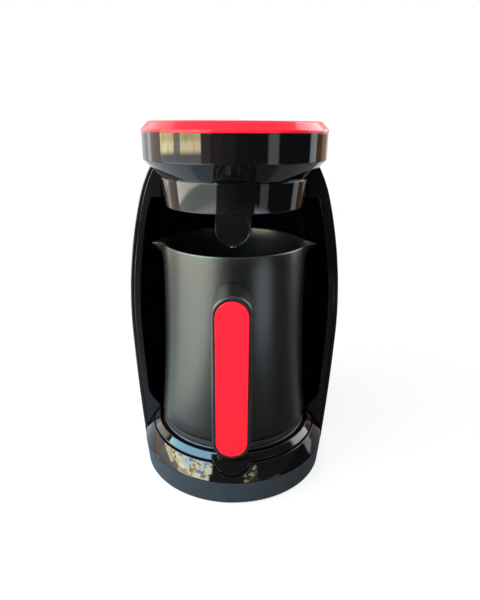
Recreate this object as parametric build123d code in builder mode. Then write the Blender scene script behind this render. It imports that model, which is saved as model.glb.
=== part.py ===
from build123d import *
import os
from math import hypot, sqrt

os.makedirs("parts", exist_ok=True)

# Electric turkish coffee maker.  Millimetres.  Z is the axis of the pot and of the base, the table is
# Z = 0 and the front of the machine is -Y.  Every height is measured from the table.

# ---- Clearances -------------------------------------------------------------------------------
seam = 0.3              # visible joint line between two mouldings
snug = 0.1              # hidden gap between pieces that locate each other
screw_play = 0.1        # radial gap round a screw's shank
key_gap = 0.4           # dark line round the start key
moulded_round = 0.4     # small rounds on visible edges
reach = 5.0             # cuts start and end this far outside the material

# ---- Base -------------------------------------------------------------------------------------
base_low = 1.0          # lower edge of the housing, held off the table by the feet
base_top = 18.0         # joint between the matte housing and the glossy bezel
base_top_r = 67.0       # the machine's main size across: what stands on the base follows it
base_low_r = base_top_r - 1.6
base_wall = 2.4
plate_ledge = 3.0       # ledge inside the housing, on the bottom plate
plate_ledge_wall = 1.6
base_round = 0.8        # rounded lower edge
plate_wall = 2.0        # bottom plate
plate_recess = 0.6      # the plate sits this far above the housing's lower edge
foot_r = 6.5
foot_circle = base_top_r - 16.1
foot_seat = 0.8         # depth of the pocket that holds a foot
foot_chamfer = 0.5
base_screw_circle = base_top_r - 16.5
base_screw_r = 1.5
base_screw_long = 12.0
base_screw_head_r = 3.2
base_screw_head = 1.2
base_screw_turn = 65.0  # keeps the posts clear of the feet, the boards and the key
screw_recess = 0.4      # radial room round a sunk screw head
post_r = 3.8
post_hole = 14.0
vent_rows = 3           # rows of slots on each side of the middle one
vent_pitch = 8.0
vent_long = 46.0
vent_wide = 2.6

# ---- Bezel, seat ring and hot plate ------------------------------------------------------------
cone_top = base_top + 11.7  # upper edge of the sloping bezel
cone_top_r = base_top_r - 7.0
bezel_wall = 2.2
skirt_low = base_top - 2.4  # the bezel's skirt reaches down into the housing to here
skirt_wall = 2.0
ring_gap = 0.5          # dark line between the bezel and the seat ring
ring_top = cone_top + 4.0  # crest of the seat ring
ring_top_r = cone_top_r - 3.9
ring_lip = 1.0          # flat crest of the seat ring
ring_inner_r = ring_top_r - 2.5  # the ring goes on under the crest as a lower inner step
ring_step = ring_top - 2.9
ring_seat = 2.3         # the ring stands in a step this deep below the cone's upper edge
well_floor = cone_top - 4.5  # top of the floor under the hot plate
well_floor_r = cone_top_r - 16.0  # hole in that floor, over the electrics
seal_high = 1.8
plate_top = ring_top + 0.6  # cooking surface: the pot's base stands here
plate_r = ring_inner_r - 1.1
plate_thick = 4.0
plate_skirt = 2.5
plate_chamfer = 0.6
element_circle = plate_r - 18.5  # sheathed element under the plate
element_r = 3.2
element_arc = 310.0
element_leg_r = 2.6
dish_high = plate_top - 12.3  # top face of the heater dish's floor
dish_wall = 1.2
element_leg_low = dish_high - 6.0
dish_r = well_floor_r - 1.5
dish_rim = well_floor + 2.3
dish_screw_circle = plate_r - 27.5
dish_screw_r = 1.8
dish_screw_long = 7.0
dish_screw_head_r = 3.2
dish_screw_head = 2.0
dish_boss_r = 4.0
dish_slot_circle = dish_r - 6.5
dish_slot_long = 9.0
dish_slot_wide = 3.0
thermostat_r = 7.5
thermostat_low = plate_top - 15.8
tab_pitch = 8.0         # flat terminals
tab_wall = 0.8
tab_wide = 4.5
tab_long = 4.0

# ---- Start key ---------------------------------------------------------------------------------
key_half = 13.2         # half width of the tongue-shaped key
key_low = -2.0          # lower tip and upper edge, along the slope from the middle of the bezel
key_high = 11.4
key_straight = 2.0      # straight part of the key's sides
key_raise = 0.5         # the cap stands this far proud of the bezel
key_wall = 1.8
key_travel = 0.8
key_stem_r = 2.0
key_stem_up = 0.5       # the stem's place along the slope
key_stem_low = 7.0      # depth of its end below the slope
plunger_r = 1.7
plunger_play = 0.05
plunger_depth = 9.4
switch_top = 8.3
switch_depth = 3.6
switch_side = 5.0
key_board_wall = 1.6
key_board_wide = 24.0
key_board_long = 11.0
key_board_drop = 4.0    # the board reaches further down the slope than up
key_post_y = 16.5 - base_top_r  # two posts under the key board
key_post_inset = 3.0

# ---- Electrics in the base ---------------------------------------------------------------------
board_high = 8.0        # underside of the control board
board_wall = 1.6
board_wide = base_top_r - 1.0
board_deep = base_top_r - 23.0
board_y = 12.0
board_post_r = 2.6
board_inset = 4.0
# place, size and height of the tall components, and place and radius of the round ones, all as shares of
# the board: relay, transformer, terminal block; capacitor, buzzer
board_blocks = [
    ((-0.30, -0.09), (0.29, 0.34), 0.17),
    ((0.06, 0.11), (0.18, 0.23), 0.15),
    ((0.33, 0.23), (0.21, 0.18), 0.16),
]
board_cans = [((0.36, -0.18), 0.083), ((-0.38, 0.32), 0.048), ((-0.24, 0.32), 0.048), ((-0.10, 0.32), 0.048)]
board_can_high = 0.14
board_corner = 2.0
board_hole_r = 1.2
gland_high = base_low + 9.4
gland_r = 3.9
gland_bore_r = 2.9
gland_head_r = 4.9
gland_head = 2.0
gland_proud = 2.5

# ---- Rear shell: a barrel, given by radius and height at five places ----------------------------
shell_low = base_low + 8.0
shell_low_r = base_top_r + 1.6
mid_rise = 47.0
belly_rise = 88.0
shoulder_rise = 95.8     # from the belly up; the head stands on it
top_rise = 21.2
shell_mid = shell_low + mid_rise
belly = shell_low + belly_rise
belly_r = base_top_r + 6.4
shell_mid_r = belly_r - 1.7
shoulder = belly + shoulder_rise
shoulder_r = belly_r - 10.7
shell_top = shoulder + top_rise
shell_top_r = belly_r - 19.3
shell_wall = 2.2
edge_round = 0.7        # rounded front edge

# ---- Liner: the cavity that the pot stands in ---------------------------------------------------
flange_wide = 4.6       # front flange, between the cavity and the shell's edge
liner_wall = 2.2
roof_low = shoulder + 0.6
toe_tip_r = ring_top_r + 0.1  # the toe's tip, over the seat ring
toe_tip = ring_top + 3.1
toe_top = toe_tip + 29.2  # where the toe's curve runs out into the flange
toe_sag = 3.2
column_half = 16.5      # wiring column at the back of the cavity
column_front = plate_r + 2.5
column_wall = 2.2
strap_half = 10.0       # steel frame inside the column
strap_wall = 1.2
strap_lip = 3.5
strap_lip_top = roof_low - 17.4
strap_slots = 4
strap_slot_pitch = 30.0
strap_slot_long = 16.0
strap_slot_wide = 6.0

# ---- Head --------------------------------------------------------------------------------------
collar_low = roof_low - 4.1
cone_low = collar_low + 18.5    # lower and upper edges of the inverted cone
cone_high = cone_low + 10.3
ring_high = cone_high + 15.9    # upper edge of the head ring
ring_r = shell_top_r + 3.9
ring_low_r = ring_r - 0.1
cone_low_r = ring_r - 10.1
head_round = 0.6
head_wall = 2.4
head_flange_r = cone_low_r - 13.9
head_flange = 2.4
collar_low_r = cone_low_r - 2.1
collar_wall = 2.2
collar_round = 1.0
spigot_wall = 2.4
spigot_in = 1.7         # the spigot stands in from the collar's upper edge
spigot_low = 3.0
floor_high = collar_low + 2.4  # upper face of the plate that closes the collar
floor_wall = 2.2
floor_ledge = 0.9       # ledge inside the collar, on the floor plate
floor_ledge_high = 2.0
floor_vents = 8
floor_vent_long = 13.0
floor_vent_wide = 2.4
floor_screw_circle = cone_low_r - 9.9
floor_vent_circle = floor_screw_circle - 18.0
floor_screw_r = 1.2
floor_screw_long = 9.0
floor_screw_head_r = 2.6
floor_screw_head = 1.0
floor_post_r = 3.4
neck_low = roof_low + 4.5  # plate that carries the head on the rear shell
neck_wall = 2.2
neck_screw_circle = cone_low_r + 3.0
neck_screw_r = 1.3
neck_screw_long = 20.0
neck_screw_head_r = 2.5
neck_screw_head = 2.0
neck_post_r = 2.6
neck_boss_high = 14.0
lid_edge = ring_high + 1.4  # top of the lid's short upright edge
lid_rim_r = ring_r - 4.3
lid_rim = lid_edge + 4.8
lid_crown = 0.6
lid_wall = 2.4
lid_skirt = 4.0
lid_round = 3.0
lid_over = 0.2          # the lid's edge stands this far out over the head ring
head_board_half = ring_r - 15.0
head_board_deep = 22.0

# ---- Foam sensor under the collar ---------------------------------------------------------------
tongue_half = 10.7
tongue_low = collar_low - 19.3
tongue_front = cone_low_r - 6.9
tongue_deep = 6.0
tongue_top = roof_low + 5.6
tongue_rim = 0.9
tongue_relief = 0.5
tongue_flange = 13.0
tongue_flange_high = 1.5
tongue_flange_deep = 8.0
probe_r = 2.8
probe_shank_r = 1.68
probe_sunk = 7.0
probe_room = 1.0        # the probe's socket goes on past the end of its shank
probe_low = tongue_low - 1.7

# ---- Pot ---------------------------------------------------------------------------------------
pot_low = plate_top + 4.7  # lower face of the aluminium body, on its base disc
pot_low_r = plate_r + 0.5
pot_rim = tongue_low - 4.2
pot_rim_r = pot_low_r - 5.0
pot_waist = pot_rim - 44.8
pot_waist_r = pot_low_r - 4.7
pot_wall = 2.0
pot_floor = 3.0
pot_corner = 2.2
disc_r = pot_low_r - 1.0
disc_chamfer = 0.8
lip_tip_r = pot_rim_r + 7.5  # pouring lips on the left and the right
lip_round = 3.0
lip_half = 10.5
lip_drop = 13.0
lip_root = 6.0          # the lip's outline starts this far inside the pot's wall

# ---- Handle ------------------------------------------------------------------------------------
grip_wide = 24.3
grip_low = pot_low + 2.2
grip_top = pot_rim - 16.2
grip_front = pot_low_r + 19.5
grip_deep = 9.0
arm_low = grip_top - 28.6
arm_round = 9.0
grip_round = 1.8
insert_wide = grip_wide - 4.8
insert_low = grip_low + 2.7
insert_top = grip_top - 3.0
insert_deep = 1.6
insert_proud = 0.4
insert_round = 0.35
pocket_wide = 13.0
pocket_long = 15.0
pocket_deep = 5.0
pocket_pitch = 17.5
pocket_first = grip_low + 15.8
pocket_count = 4
pocket_round = 2.0
bracket_half = 7.5
bracket_low = arm_low + 6.0
bracket_top = grip_top - 4.1
bracket_deep = 5.5
handle_screw_r = 1.6
handle_screw_head_r = 3.3
handle_screw_head = 2.2
handle_screw_seat = grip_front - 6.0
handle_screw_pitch = 10.0


# ---- Derived geometry --------------------------------------------------------------------------
def circle_through(a, b, c):
    """Centre and radius of the circle through three (radius, height) points."""
    d = 2 * (a[0] * (b[1] - c[1]) + b[0] * (c[1] - a[1]) + c[0] * (a[1] - b[1]))
    squares = [p[0] ** 2 + p[1] ** 2 for p in (a, b, c)]
    x = (squares[0] * (b[1] - c[1]) + squares[1] * (c[1] - a[1]) + squares[2] * (a[1] - b[1])) / d
    z = (squares[0] * (c[0] - b[0]) + squares[1] * (a[0] - c[0]) + squares[2] * (b[0] - a[0])) / d
    return x, z, hypot(a[0] - x, a[1] - z)


def circle_on(circle, start, end):
    """Circle that leaves `start` in the direction of `circle` and passes through `end`."""
    normal = ((circle[0] - start[0]) / circle[2], (circle[1] - start[1]) / circle[2])
    run = (end[0] - start[0], end[1] - start[1])
    radius = (run[0] ** 2 + run[1] ** 2) / (2 * (normal[0] * run[0] + normal[1] * run[1]))
    return start[0] + normal[0] * radius, start[1] + normal[1] * radius, radius


lower_barrel = circle_through((shell_low_r, shell_low), (shell_mid_r, shell_mid), (belly_r, belly))
upper_barrel = circle_on(lower_barrel, (belly_r, belly), (shoulder_r, shoulder))
top_barrel = circle_on(upper_barrel, (shoulder_r, shoulder), (shell_top_r, shell_top))


def barrel_r(height):
    """Outer radius of the rear shell at a height, on three arcs that run into each other."""
    if height <= belly:
        x, z, radius = lower_barrel
    else:
        x, z, radius = upper_barrel if height <= shoulder else top_barrel
    return x + sqrt(radius**2 - (height - z) ** 2)


def housing_r(height):
    """Outer radius of the base housing, which widens upwards."""
    return base_low_r + (base_top_r - base_low_r) * (height - base_low) / (base_top - base_low)


cavity_inset = shell_wall + seam + flange_wide
liner_inset = shell_wall + seam
ring_foot = cone_top - ring_seat
slope = (base_top_r - cone_top_r, cone_top - base_top)
slope_long = hypot(*slope)
slope_in = (-slope[1] / slope_long, -slope[0] / slope_long)      # into the bezel, as (radius, height)
key_origin = (0, -(base_top_r + cone_top_r) / 2, (base_top + cone_top) / 2)
key_plane = Plane(origin=key_origin, x_dir=(1, 0, 0), z_dir=(0, slope_in[0], -slope_in[1]))
# the crest's corners lie this deep below the slope, and the pocket under the key is deeper still
crest_back = -key_origin[1] - sqrt(ring_top_r**2 - key_half**2)
key_crest_drop = slope_in[0] * crest_back - slope_in[1] * (ring_top - key_origin[2])
key_pocket = key_wall - key_raise - key_crest_drop + key_travel + seam
key_board_back = switch_top + switch_depth + key_board_wall
skirt_out = housing_r(skirt_low) - base_wall - seam / 2
bottom_low = base_low + plate_recess
bottom_high = bottom_low + plate_wall
bottom_r = base_low_r - base_wall - seam
seal_top = well_floor + seal_high
grip_back = grip_front - grip_deep
probe_y = -tongue_front + tongue_deep / 2


# ---- Shared drawing steps ----------------------------------------------------------------------
def strip(inner, outer, low, high, mode=Mode.ADD):
    """Rectangle in the (radius, height) plane."""
    with Locations((inner, low)):
        Rectangle(outer - inner, high - low, align=(Align.MIN, Align.MIN), mode=mode)


def outline(*points, mode=Mode.ADD):
    """Straight-sided section given by its corners."""
    Polygon(*points, align=None, mode=mode)


def arc_edge(radius_at, inset, low, high):
    """Arc through a curved outline between two heights, moved in by `inset`."""
    ThreePointArc(*((radius_at(z) - inset, z) for z in (low, (low + high) / 2, high)))


def barrel_edge(inset, low, high):
    """The rear shell's outline between two heights, moved in by `inset`."""
    stops = [low, *(z for z in (belly, shoulder) if low < z < high), high]
    for start, end in zip(stops, stops[1:]):
        arc_edge(barrel_r, inset, start, end)


def barrel_strip(outer, inner, low, high):
    """Curved wall of the barrel between two insets and two heights."""
    with BuildLine() as edge:
        barrel_edge(outer, low, high)
        barrel_edge(inner, low, high)
        for z in (low, high):
            Line((barrel_r(z) - outer, z), (barrel_r(z) - inner, z))
    make_face(edge.edges())


def barrel_fill(inset, low, high, inner=0.0, mode=Mode.ADD):
    """Everything between a straight inner radius and the barrel's outline."""
    with BuildLine() as edge:
        barrel_edge(inset, low, high)
        Polyline(
            (barrel_r(high) - inset, high), (inner, high), (inner, low), (barrel_r(low) - inset, low)
        )
    make_face(edge.edges(), mode=mode)


def turn(arc=360, mode=Mode.ADD, section=None):
    """Revolves a section, the one just drawn if none is given; a half turn covers the rear, +Y."""
    revolve(section, axis=Axis.Z, revolution_arc=arc, mode=mode)


def rims(builder, *places):
    """The circular edges of a piece at the given (radius, height) places."""
    circles = builder.edges().filter_by(GeomType.CIRCLE)
    return [
        edge
        for edge in circles
        for radius, height in places
        if abs(edge.radius - radius) + abs(edge.arc_center.Z - height) < snug
    ]


def clear_rear_shell():
    """Steps the rear half of a base piece in, under the shell that laps over it."""
    with BuildSketch(Plane.XZ) as section:
        strip(0, 2 * base_top_r, shell_low - seam, 2 * cone_top)
        barrel_fill(liner_inset, shell_low - seam, 2 * cone_top, mode=Mode.SUBTRACT)
    turn(180, Mode.SUBTRACT, section.sketch)


def clear_head():
    """Removes the space that the head's cone and collar stand in."""
    wide = 2 * ring_r
    with BuildSketch(Plane.XZ) as section:
        outline(
            (0, roof_low),
            (cone_low_r + seam, roof_low),
            (cone_low_r + seam, cone_low),
            (ring_low_r + seam, cone_high),
            (wide, cone_high),
            (wide, ring_high),
            (0, ring_high),
        )
    turn(360, Mode.SUBTRACT, section.sketch)


def key_outline(grow):
    """Tongue-shaped outline of the start key on its sloping plane."""
    half = key_half + grow
    side = key_high - key_straight
    with BuildLine() as edge:
        Polyline((-half, side), (-half, key_high + grow), (half, key_high + grow), (half, side))
        ThreePointArc((-half, side), (0, key_low - grow), (half, side))
    make_face(edge.edges())


def cut_key_pocket():
    """Cuts the start key's opening, with the dark line round it and room for its stem."""
    with BuildSketch(key_plane.offset(reach)) as section:
        key_outline(key_gap)
    extrude(section.sketch, amount=-(reach + key_pocket), mode=Mode.SUBTRACT)
    with BuildSketch(key_plane.offset(-key_pocket)) as bore:
        with Locations((0, key_stem_up)):
            Circle(key_stem_r + key_gap)
    extrude(bore.sketch, amount=-reach, mode=Mode.SUBTRACT)


def screws(circle, count, turned, low, shank_r, long, head_r, head):
    """Upright screws on a circle: round heads at `low`, shanks above them."""
    for radius, height, reach in ((head_r, low, head), (shank_r, low + head, long)):
        with BuildSketch(Plane.XY.offset(height)) as rounds:
            with PolarLocations(circle, count, start_angle=turned):
                Circle(radius)
        extrude(rounds.sketch, amount=reach)


def write(builder, name):
    """Labels a finished piece and writes its STEP file."""
    builder.part.label = name
    export_step(builder.part, f"parts/{name}.step")


# ---- Base housing ------------------------------------------------------------------------------
with BuildPart() as base_housing:
    with BuildSketch(Plane.XZ):
        outline(
            (base_low_r, base_low),
            (base_top_r, base_top),
            (base_top_r - base_wall, base_top),
            (base_low_r - base_wall, base_low),
        )
        ledge_out = base_low_r - base_wall / 2
        strip(ledge_out - base_wall / 2 - plate_ledge, ledge_out, bottom_high, bottom_high + plate_ledge_wall)
    turn()
    fillet(rims(base_housing, (base_low_r, base_low)), base_round)
    clear_rear_shell()
    with BuildSketch(Plane.XZ):
        with Locations((0, gland_high)):
            Circle(gland_r + snug)
    extrude(amount=-base_top_r - reach, mode=Mode.SUBTRACT)
write(base_housing, "base_housing")

with BuildPart() as bottom_plate:
    with BuildSketch(Plane.XY.offset(bottom_low)):
        Circle(bottom_r)
    extrude(amount=plate_wall)
    with BuildSketch(Plane.XY.offset(bottom_low)):
        with PolarLocations(foot_circle, 4, start_angle=45):
            Circle(foot_r + snug)
    extrude(amount=foot_seat, mode=Mode.SUBTRACT)
    with BuildSketch(Plane.XY.offset(bottom_low)):
        with PolarLocations(base_screw_circle, 4, start_angle=base_screw_turn):
            Circle(base_screw_r + screw_play)
        for row in range(-vent_rows, vent_rows + 1):
            with Locations((0, row * vent_pitch)):
                SlotOverall(vent_long - abs(row) * vent_wide, vent_wide)
    extrude(amount=plate_wall, mode=Mode.SUBTRACT)
    with BuildSketch(Plane.XY.offset(bottom_low)):
        with PolarLocations(base_screw_circle, 4, start_angle=base_screw_turn):
            Circle(base_screw_head_r + screw_recess)
    extrude(amount=base_screw_head + screw_play, mode=Mode.SUBTRACT)
    with BuildSketch(Plane.XY.offset(bottom_high)):
        with Locations((0, board_y)):
            with GridLocations(board_wide - 2 * board_inset, board_deep - 2 * board_inset, 2, 2):
                Circle(board_post_r)
    extrude(amount=board_high - bottom_high)
    # two posts under the key board, cut to its slope
    with BuildSketch(Plane.XY.offset(bottom_high)):
        with Locations((0, key_post_y)):
            with GridLocations(key_board_wide - 2 * key_post_inset, 1, 2, 1):
                Circle(board_post_r)
    extrude(amount=base_top - bottom_high)
    with BuildSketch(key_plane.offset(-key_board_back)):
        Rectangle(2 * key_board_wide, 2 * key_board_long)
    extrude(amount=base_top, mode=Mode.SUBTRACT)
write(bottom_plate, "bottom_plate")

with BuildPart() as feet:
    with BuildSketch():
        with PolarLocations(foot_circle, 4, start_angle=45):
            Circle(foot_r)
    extrude(amount=bottom_low + foot_seat)
    chamfer(feet.edges().group_by(Axis.Z)[0], foot_chamfer)
write(feet, "feet")

with BuildPart() as base_screws:
    screws(
        base_screw_circle,
        4,
        base_screw_turn,
        bottom_low + screw_play,
        base_screw_r,
        base_screw_long,
        base_screw_head_r,
        base_screw_head,
    )
write(base_screws, "base_screws")

# ---- Bezel, seat ring and start key -------------------------------------------------------------
with BuildPart() as bezel:
    with BuildSketch(Plane.XZ):
        outline(
            (base_top_r, base_top),
            (cone_top_r, cone_top),
            (cone_top_r, ring_foot - bezel_wall),
            (skirt_out - skirt_wall, base_top),
        )
        strip(ring_top_r - ring_lip, cone_top_r, ring_foot - bezel_wall, ring_foot)
        strip(ring_top_r - ring_lip, ring_top_r - ring_lip + bezel_wall, well_floor, ring_foot)
        strip(well_floor_r, ring_top_r - ring_lip + bezel_wall, well_floor - bezel_wall, well_floor)
        strip(skirt_out - skirt_wall, skirt_out, skirt_low, base_top)
    turn()
    fillet(rims(bezel, (base_top_r, base_top), (cone_top_r, cone_top)), moulded_round)
    # posts for the bottom screws, hanging from the well's floor
    with BuildSketch(Plane.XY.offset(bottom_high)):
        with PolarLocations(base_screw_circle, 4, start_angle=base_screw_turn):
            Circle(post_r)
    extrude(amount=well_floor - bottom_high - bezel_wall / 2)
    with BuildSketch(Plane.XY.offset(bottom_high)):
        with PolarLocations(base_screw_circle, 4, start_angle=base_screw_turn):
            Circle(base_screw_r + screw_play)
    extrude(amount=post_hole, mode=Mode.SUBTRACT)
    cut_key_pocket()
    clear_rear_shell()
write(bezel, "bezel")

with BuildPart() as seat_ring:
    with BuildSketch(Plane.XZ):
        outer_r = cone_top_r - ring_gap
        outline(
            (outer_r, ring_foot),
            (outer_r, cone_top + ring_gap),
            (ring_top_r, ring_top),
            (ring_top_r - ring_lip, ring_top),
            (ring_top_r - ring_lip, ring_step),
            (ring_inner_r, ring_step),
            (ring_inner_r, ring_foot),
        )
    turn()
    crest_rims = [(ring_top_r, ring_top), (ring_top_r - ring_lip, ring_top), (ring_inner_r, ring_step)]
    fillet(rims(seat_ring, (outer_r, cone_top + ring_gap), *crest_rims), moulded_round)
    cut_key_pocket()
write(seat_ring, "seat_ring")

with BuildPart() as start_key:
    surface = [(base_top_r, base_top), (cone_top_r, cone_top), (ring_top_r, ring_top)]
    with BuildSketch(Plane.XZ):
        over = [(r - slope_in[0] * key_raise, z - slope_in[1] * key_raise) for r, z in surface]
        depth = key_wall - key_raise
        under = [(r + slope_in[0] * depth, z + slope_in[1] * depth) for r, z in reversed(surface)]
        outline(*over, *under)
    turn()
    with BuildSketch(key_plane.offset(-reach)):
        key_outline(0)
    extrude(amount=2 * reach, mode=Mode.INTERSECT)
    with BuildSketch(key_plane.offset(-key_stem_low)):
        with Locations((0, key_stem_up)):
            Circle(key_stem_r)
    extrude(amount=key_stem_low - key_wall / 2)
write(start_key, "start_key")

with BuildPart() as switch_plunger:
    with BuildSketch(key_plane.offset(-plunger_depth)):
        with Locations((0, key_stem_up)):
            Circle(plunger_r)
    extrude(amount=plunger_depth - key_stem_low)
write(switch_plunger, "switch_plunger")

with BuildPart() as key_switch:
    with BuildSketch(key_plane.offset(-switch_top - switch_depth)):
        with Locations((0, key_stem_up)):
            Rectangle(switch_side, switch_side)
    extrude(amount=switch_depth)
    with BuildSketch(key_plane.offset(-switch_top)):
        with Locations((0, key_stem_up)):
            Circle(plunger_r + plunger_play)
    extrude(amount=-(plunger_depth - switch_top + key_travel + seam), mode=Mode.SUBTRACT)
write(key_switch, "key_switch")

with BuildPart() as key_board:
    with BuildSketch(key_plane.offset(-key_board_back)):
        with Locations((0, key_stem_up - key_board_drop)):
            Rectangle(key_board_wide, key_board_long)
    extrude(amount=key_board_wall)
write(key_board, "key_board")

# ---- Hot plate and heater -----------------------------------------------------------------------
plate_under = plate_top - plate_thick
with BuildPart() as plate_seal:
    with BuildSketch(Plane.XZ):
        strip(plate_r - plate_skirt - 2, plate_r + 1, well_floor, seal_top)
    turn()
write(plate_seal, "plate_seal")

with BuildPart() as hot_plate:
    with BuildSketch(Plane.XZ):
        strip(0, plate_r, plate_under, plate_top)
        strip(plate_r - plate_skirt, plate_r, seal_top, plate_top)
    turn()
    chamfer(hot_plate.edges().group_by(Axis.Z)[-1], plate_chamfer)
    with BuildSketch(Plane.XY.offset(dish_high)):
        with PolarLocations(dish_screw_circle, 3, start_angle=30):
            Circle(dish_boss_r)
    extrude(amount=plate_under - dish_high)
    with BuildSketch(Plane.XY.offset(dish_high)):
        with PolarLocations(dish_screw_circle, 3, start_angle=30):
            Circle(dish_screw_r + screw_play)
    extrude(amount=dish_screw_long, mode=Mode.SUBTRACT)
write(hot_plate, "hot_plate")

element_high = plate_under - element_r - snug
with BuildPart() as heating_element:
    with BuildSketch(Plane.XZ):
        with Locations((element_circle, element_high)):
            Circle(element_r)
    revolve(axis=Axis.Z, revolution_arc=element_arc)
    gap_angle = 360 - element_arc
    with BuildSketch(Plane.XY.offset(element_high)):
        with PolarLocations(element_circle, 2, start_angle=0, angular_range=-gap_angle, endpoint=True):
            Circle(element_leg_r)
    extrude(amount=element_leg_low - element_high)
write(heating_element, "heating_element")

with BuildPart() as heater_dish:
    with BuildSketch(Plane.XZ):
        strip(0, dish_r, dish_high - dish_wall, dish_high)
        strip(dish_r - dish_wall, dish_r, dish_high - dish_wall, dish_rim)
    turn()
    with BuildSketch(Plane.XY.offset(dish_high)):
        Circle(thermostat_r + 2 * seam)
        with PolarLocations(dish_screw_circle, 3, start_angle=30):
            Circle(dish_screw_r + screw_play)
        with PolarLocations(element_circle, 2, start_angle=0, angular_range=-gap_angle, endpoint=True):
            Circle(element_leg_r + 2 * seam)
        with PolarLocations(dish_slot_circle, 3, start_angle=90):
            SlotOverall(dish_slot_long, dish_slot_wide, rotation=90)
    extrude(amount=-dish_wall, mode=Mode.SUBTRACT)
write(heater_dish, "heater_dish")

with BuildPart() as dish_screws:
    screws(
        dish_screw_circle,
        3,
        30,
        dish_high - dish_wall - dish_screw_head,
        dish_screw_r,
        dish_screw_long,
        dish_screw_head_r,
        dish_screw_head,
    )
write(dish_screws, "dish_screws")

with BuildPart() as thermostat:
    with BuildSketch(Plane.XY.offset(thermostat_low)):
        Circle(thermostat_r)
    extrude(amount=plate_under - thermostat_low)
    with BuildSketch(Plane.XY.offset(thermostat_low - tab_long)):
        with GridLocations(tab_pitch, 1, 2, 1):
            Rectangle(tab_wall, tab_wide)
    extrude(amount=tab_long)
write(thermostat, "thermostat")

# ---- Electrics in the base ----------------------------------------------------------------------
board_top = board_high + board_wall
with BuildPart() as control_board:
    with BuildSketch(Plane.XY.offset(board_high)):
        with Locations((0, board_y)):
            RectangleRounded(board_wide, board_deep, board_corner)
            with GridLocations(board_wide - 2 * board_inset, board_deep - 2 * board_inset, 2, 2):
                Circle(board_hole_r, mode=Mode.SUBTRACT)
    extrude(amount=board_wall)
write(control_board, "control_board")

with BuildPart() as board_parts:
    for (x, y), (wide, deep), high in board_blocks:
        with BuildSketch(Plane.XY.offset(board_top)):
            with Locations((x * board_wide, board_y + y * board_deep)):
                Rectangle(wide * board_wide, deep * board_deep)
        extrude(amount=high * board_deep)
    with BuildSketch(Plane.XY.offset(board_top)):
        for (x, y), radius in board_cans:
            with Locations((x * board_wide, board_y + y * board_deep)):
                Circle(radius * board_wide)
    extrude(amount=board_can_high * board_deep)
write(board_parts, "board_parts")

with BuildPart() as cord_gland:
    gland_end = barrel_r(shell_low) + gland_proud
    housing_in = sqrt((housing_r(gland_high - gland_head_r) - base_wall) ** 2 - gland_head_r**2) - seam
    gland_plane = Plane.XZ.offset(-housing_in)
    with BuildSketch(gland_plane):
        with Locations((0, gland_high)):
            Circle(gland_head_r)
    extrude(amount=gland_head)
    with BuildSketch(gland_plane):
        with Locations((0, gland_high)):
            Circle(gland_r)
    extrude(amount=-(gland_end - housing_in))
    with BuildSketch(gland_plane.offset(gland_head)):
        with Locations((0, gland_high)):
            Circle(gland_bore_r)
    extrude(amount=-2 * gland_end, mode=Mode.SUBTRACT)
write(cord_gland, "cord_gland")

# ---- Rear shell and liner -----------------------------------------------------------------------
with BuildPart() as rear_shell:
    with BuildSketch(Plane.XZ):
        barrel_strip(0, shell_wall, shell_low, shell_top)
    turn(180)
    front_edges = [
        edge
        for edge in rear_shell.edges().filter_by(GeomType.CIRCLE)
        if abs((edge @ 0.5).Y) < snug and abs(abs((edge @ 0.5).X) - barrel_r((edge @ 0.5).Z)) < snug
    ]
    fillet(front_edges, edge_round)
    clear_head()
    with BuildSketch(Plane.XZ):
        with Locations((0, gland_high)):
            Circle(gland_r + seam)
    extrude(amount=-2 * belly_r, mode=Mode.SUBTRACT)
write(rear_shell, "rear_shell")

liner_low = base_top + seam
with BuildPart() as bay:
    # the space that the pot stands in, with the wiring column standing in it
    with BuildSketch(Plane.XZ):
        barrel_fill(cavity_inset, liner_low - reach, roof_low)
    turn(180)
    with BuildSketch(Plane.XY.offset(liner_low - reach)):
        with Locations((0, column_front)):
            Rectangle(2 * column_half, belly_r, align=(Align.CENTER, Align.MIN))
    extrude(amount=roof_low, mode=Mode.SUBTRACT)


def clear_base():
    """Removes the space over the bezel and the seat ring, and what lies under it."""
    with BuildSketch(Plane.XZ) as section:
        outline(
            (0, 0),
            (base_top_r + reach, 0),
            (base_top_r + reach, base_top + 2 * seam - reach * slope[1] / slope[0]),
            (cone_top_r, cone_top + 2 * seam),
            (ring_top_r, ring_top + seam),
            (0, ring_top + seam),
        )
    turn(360, Mode.SUBTRACT, section.sketch)


with BuildPart() as liner:
    with BuildSketch(Plane.XZ):
        barrel_fill(cavity_inset - liner_wall, liner_low, roof_low + liner_wall)
    turn(180)
    with BuildSketch(Plane.XZ):
        strip(-belly_r, belly_r, 0, shell_top)
    extrude(amount=-liner_wall, mode=Mode.SUBTRACT)
    add(bay.part, mode=Mode.SUBTRACT)
    # hollow behind the column
    with BuildSketch(Plane.XY.offset(liner_low - reach)):
        with Locations((0, column_front + column_wall)):
            Rectangle(2 * (column_half - column_wall), belly_r, align=(Align.CENTER, Align.MIN))
    extrude(amount=shell_top, mode=Mode.SUBTRACT)
    clear_head()
    clear_base()
write(liner, "liner")

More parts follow.
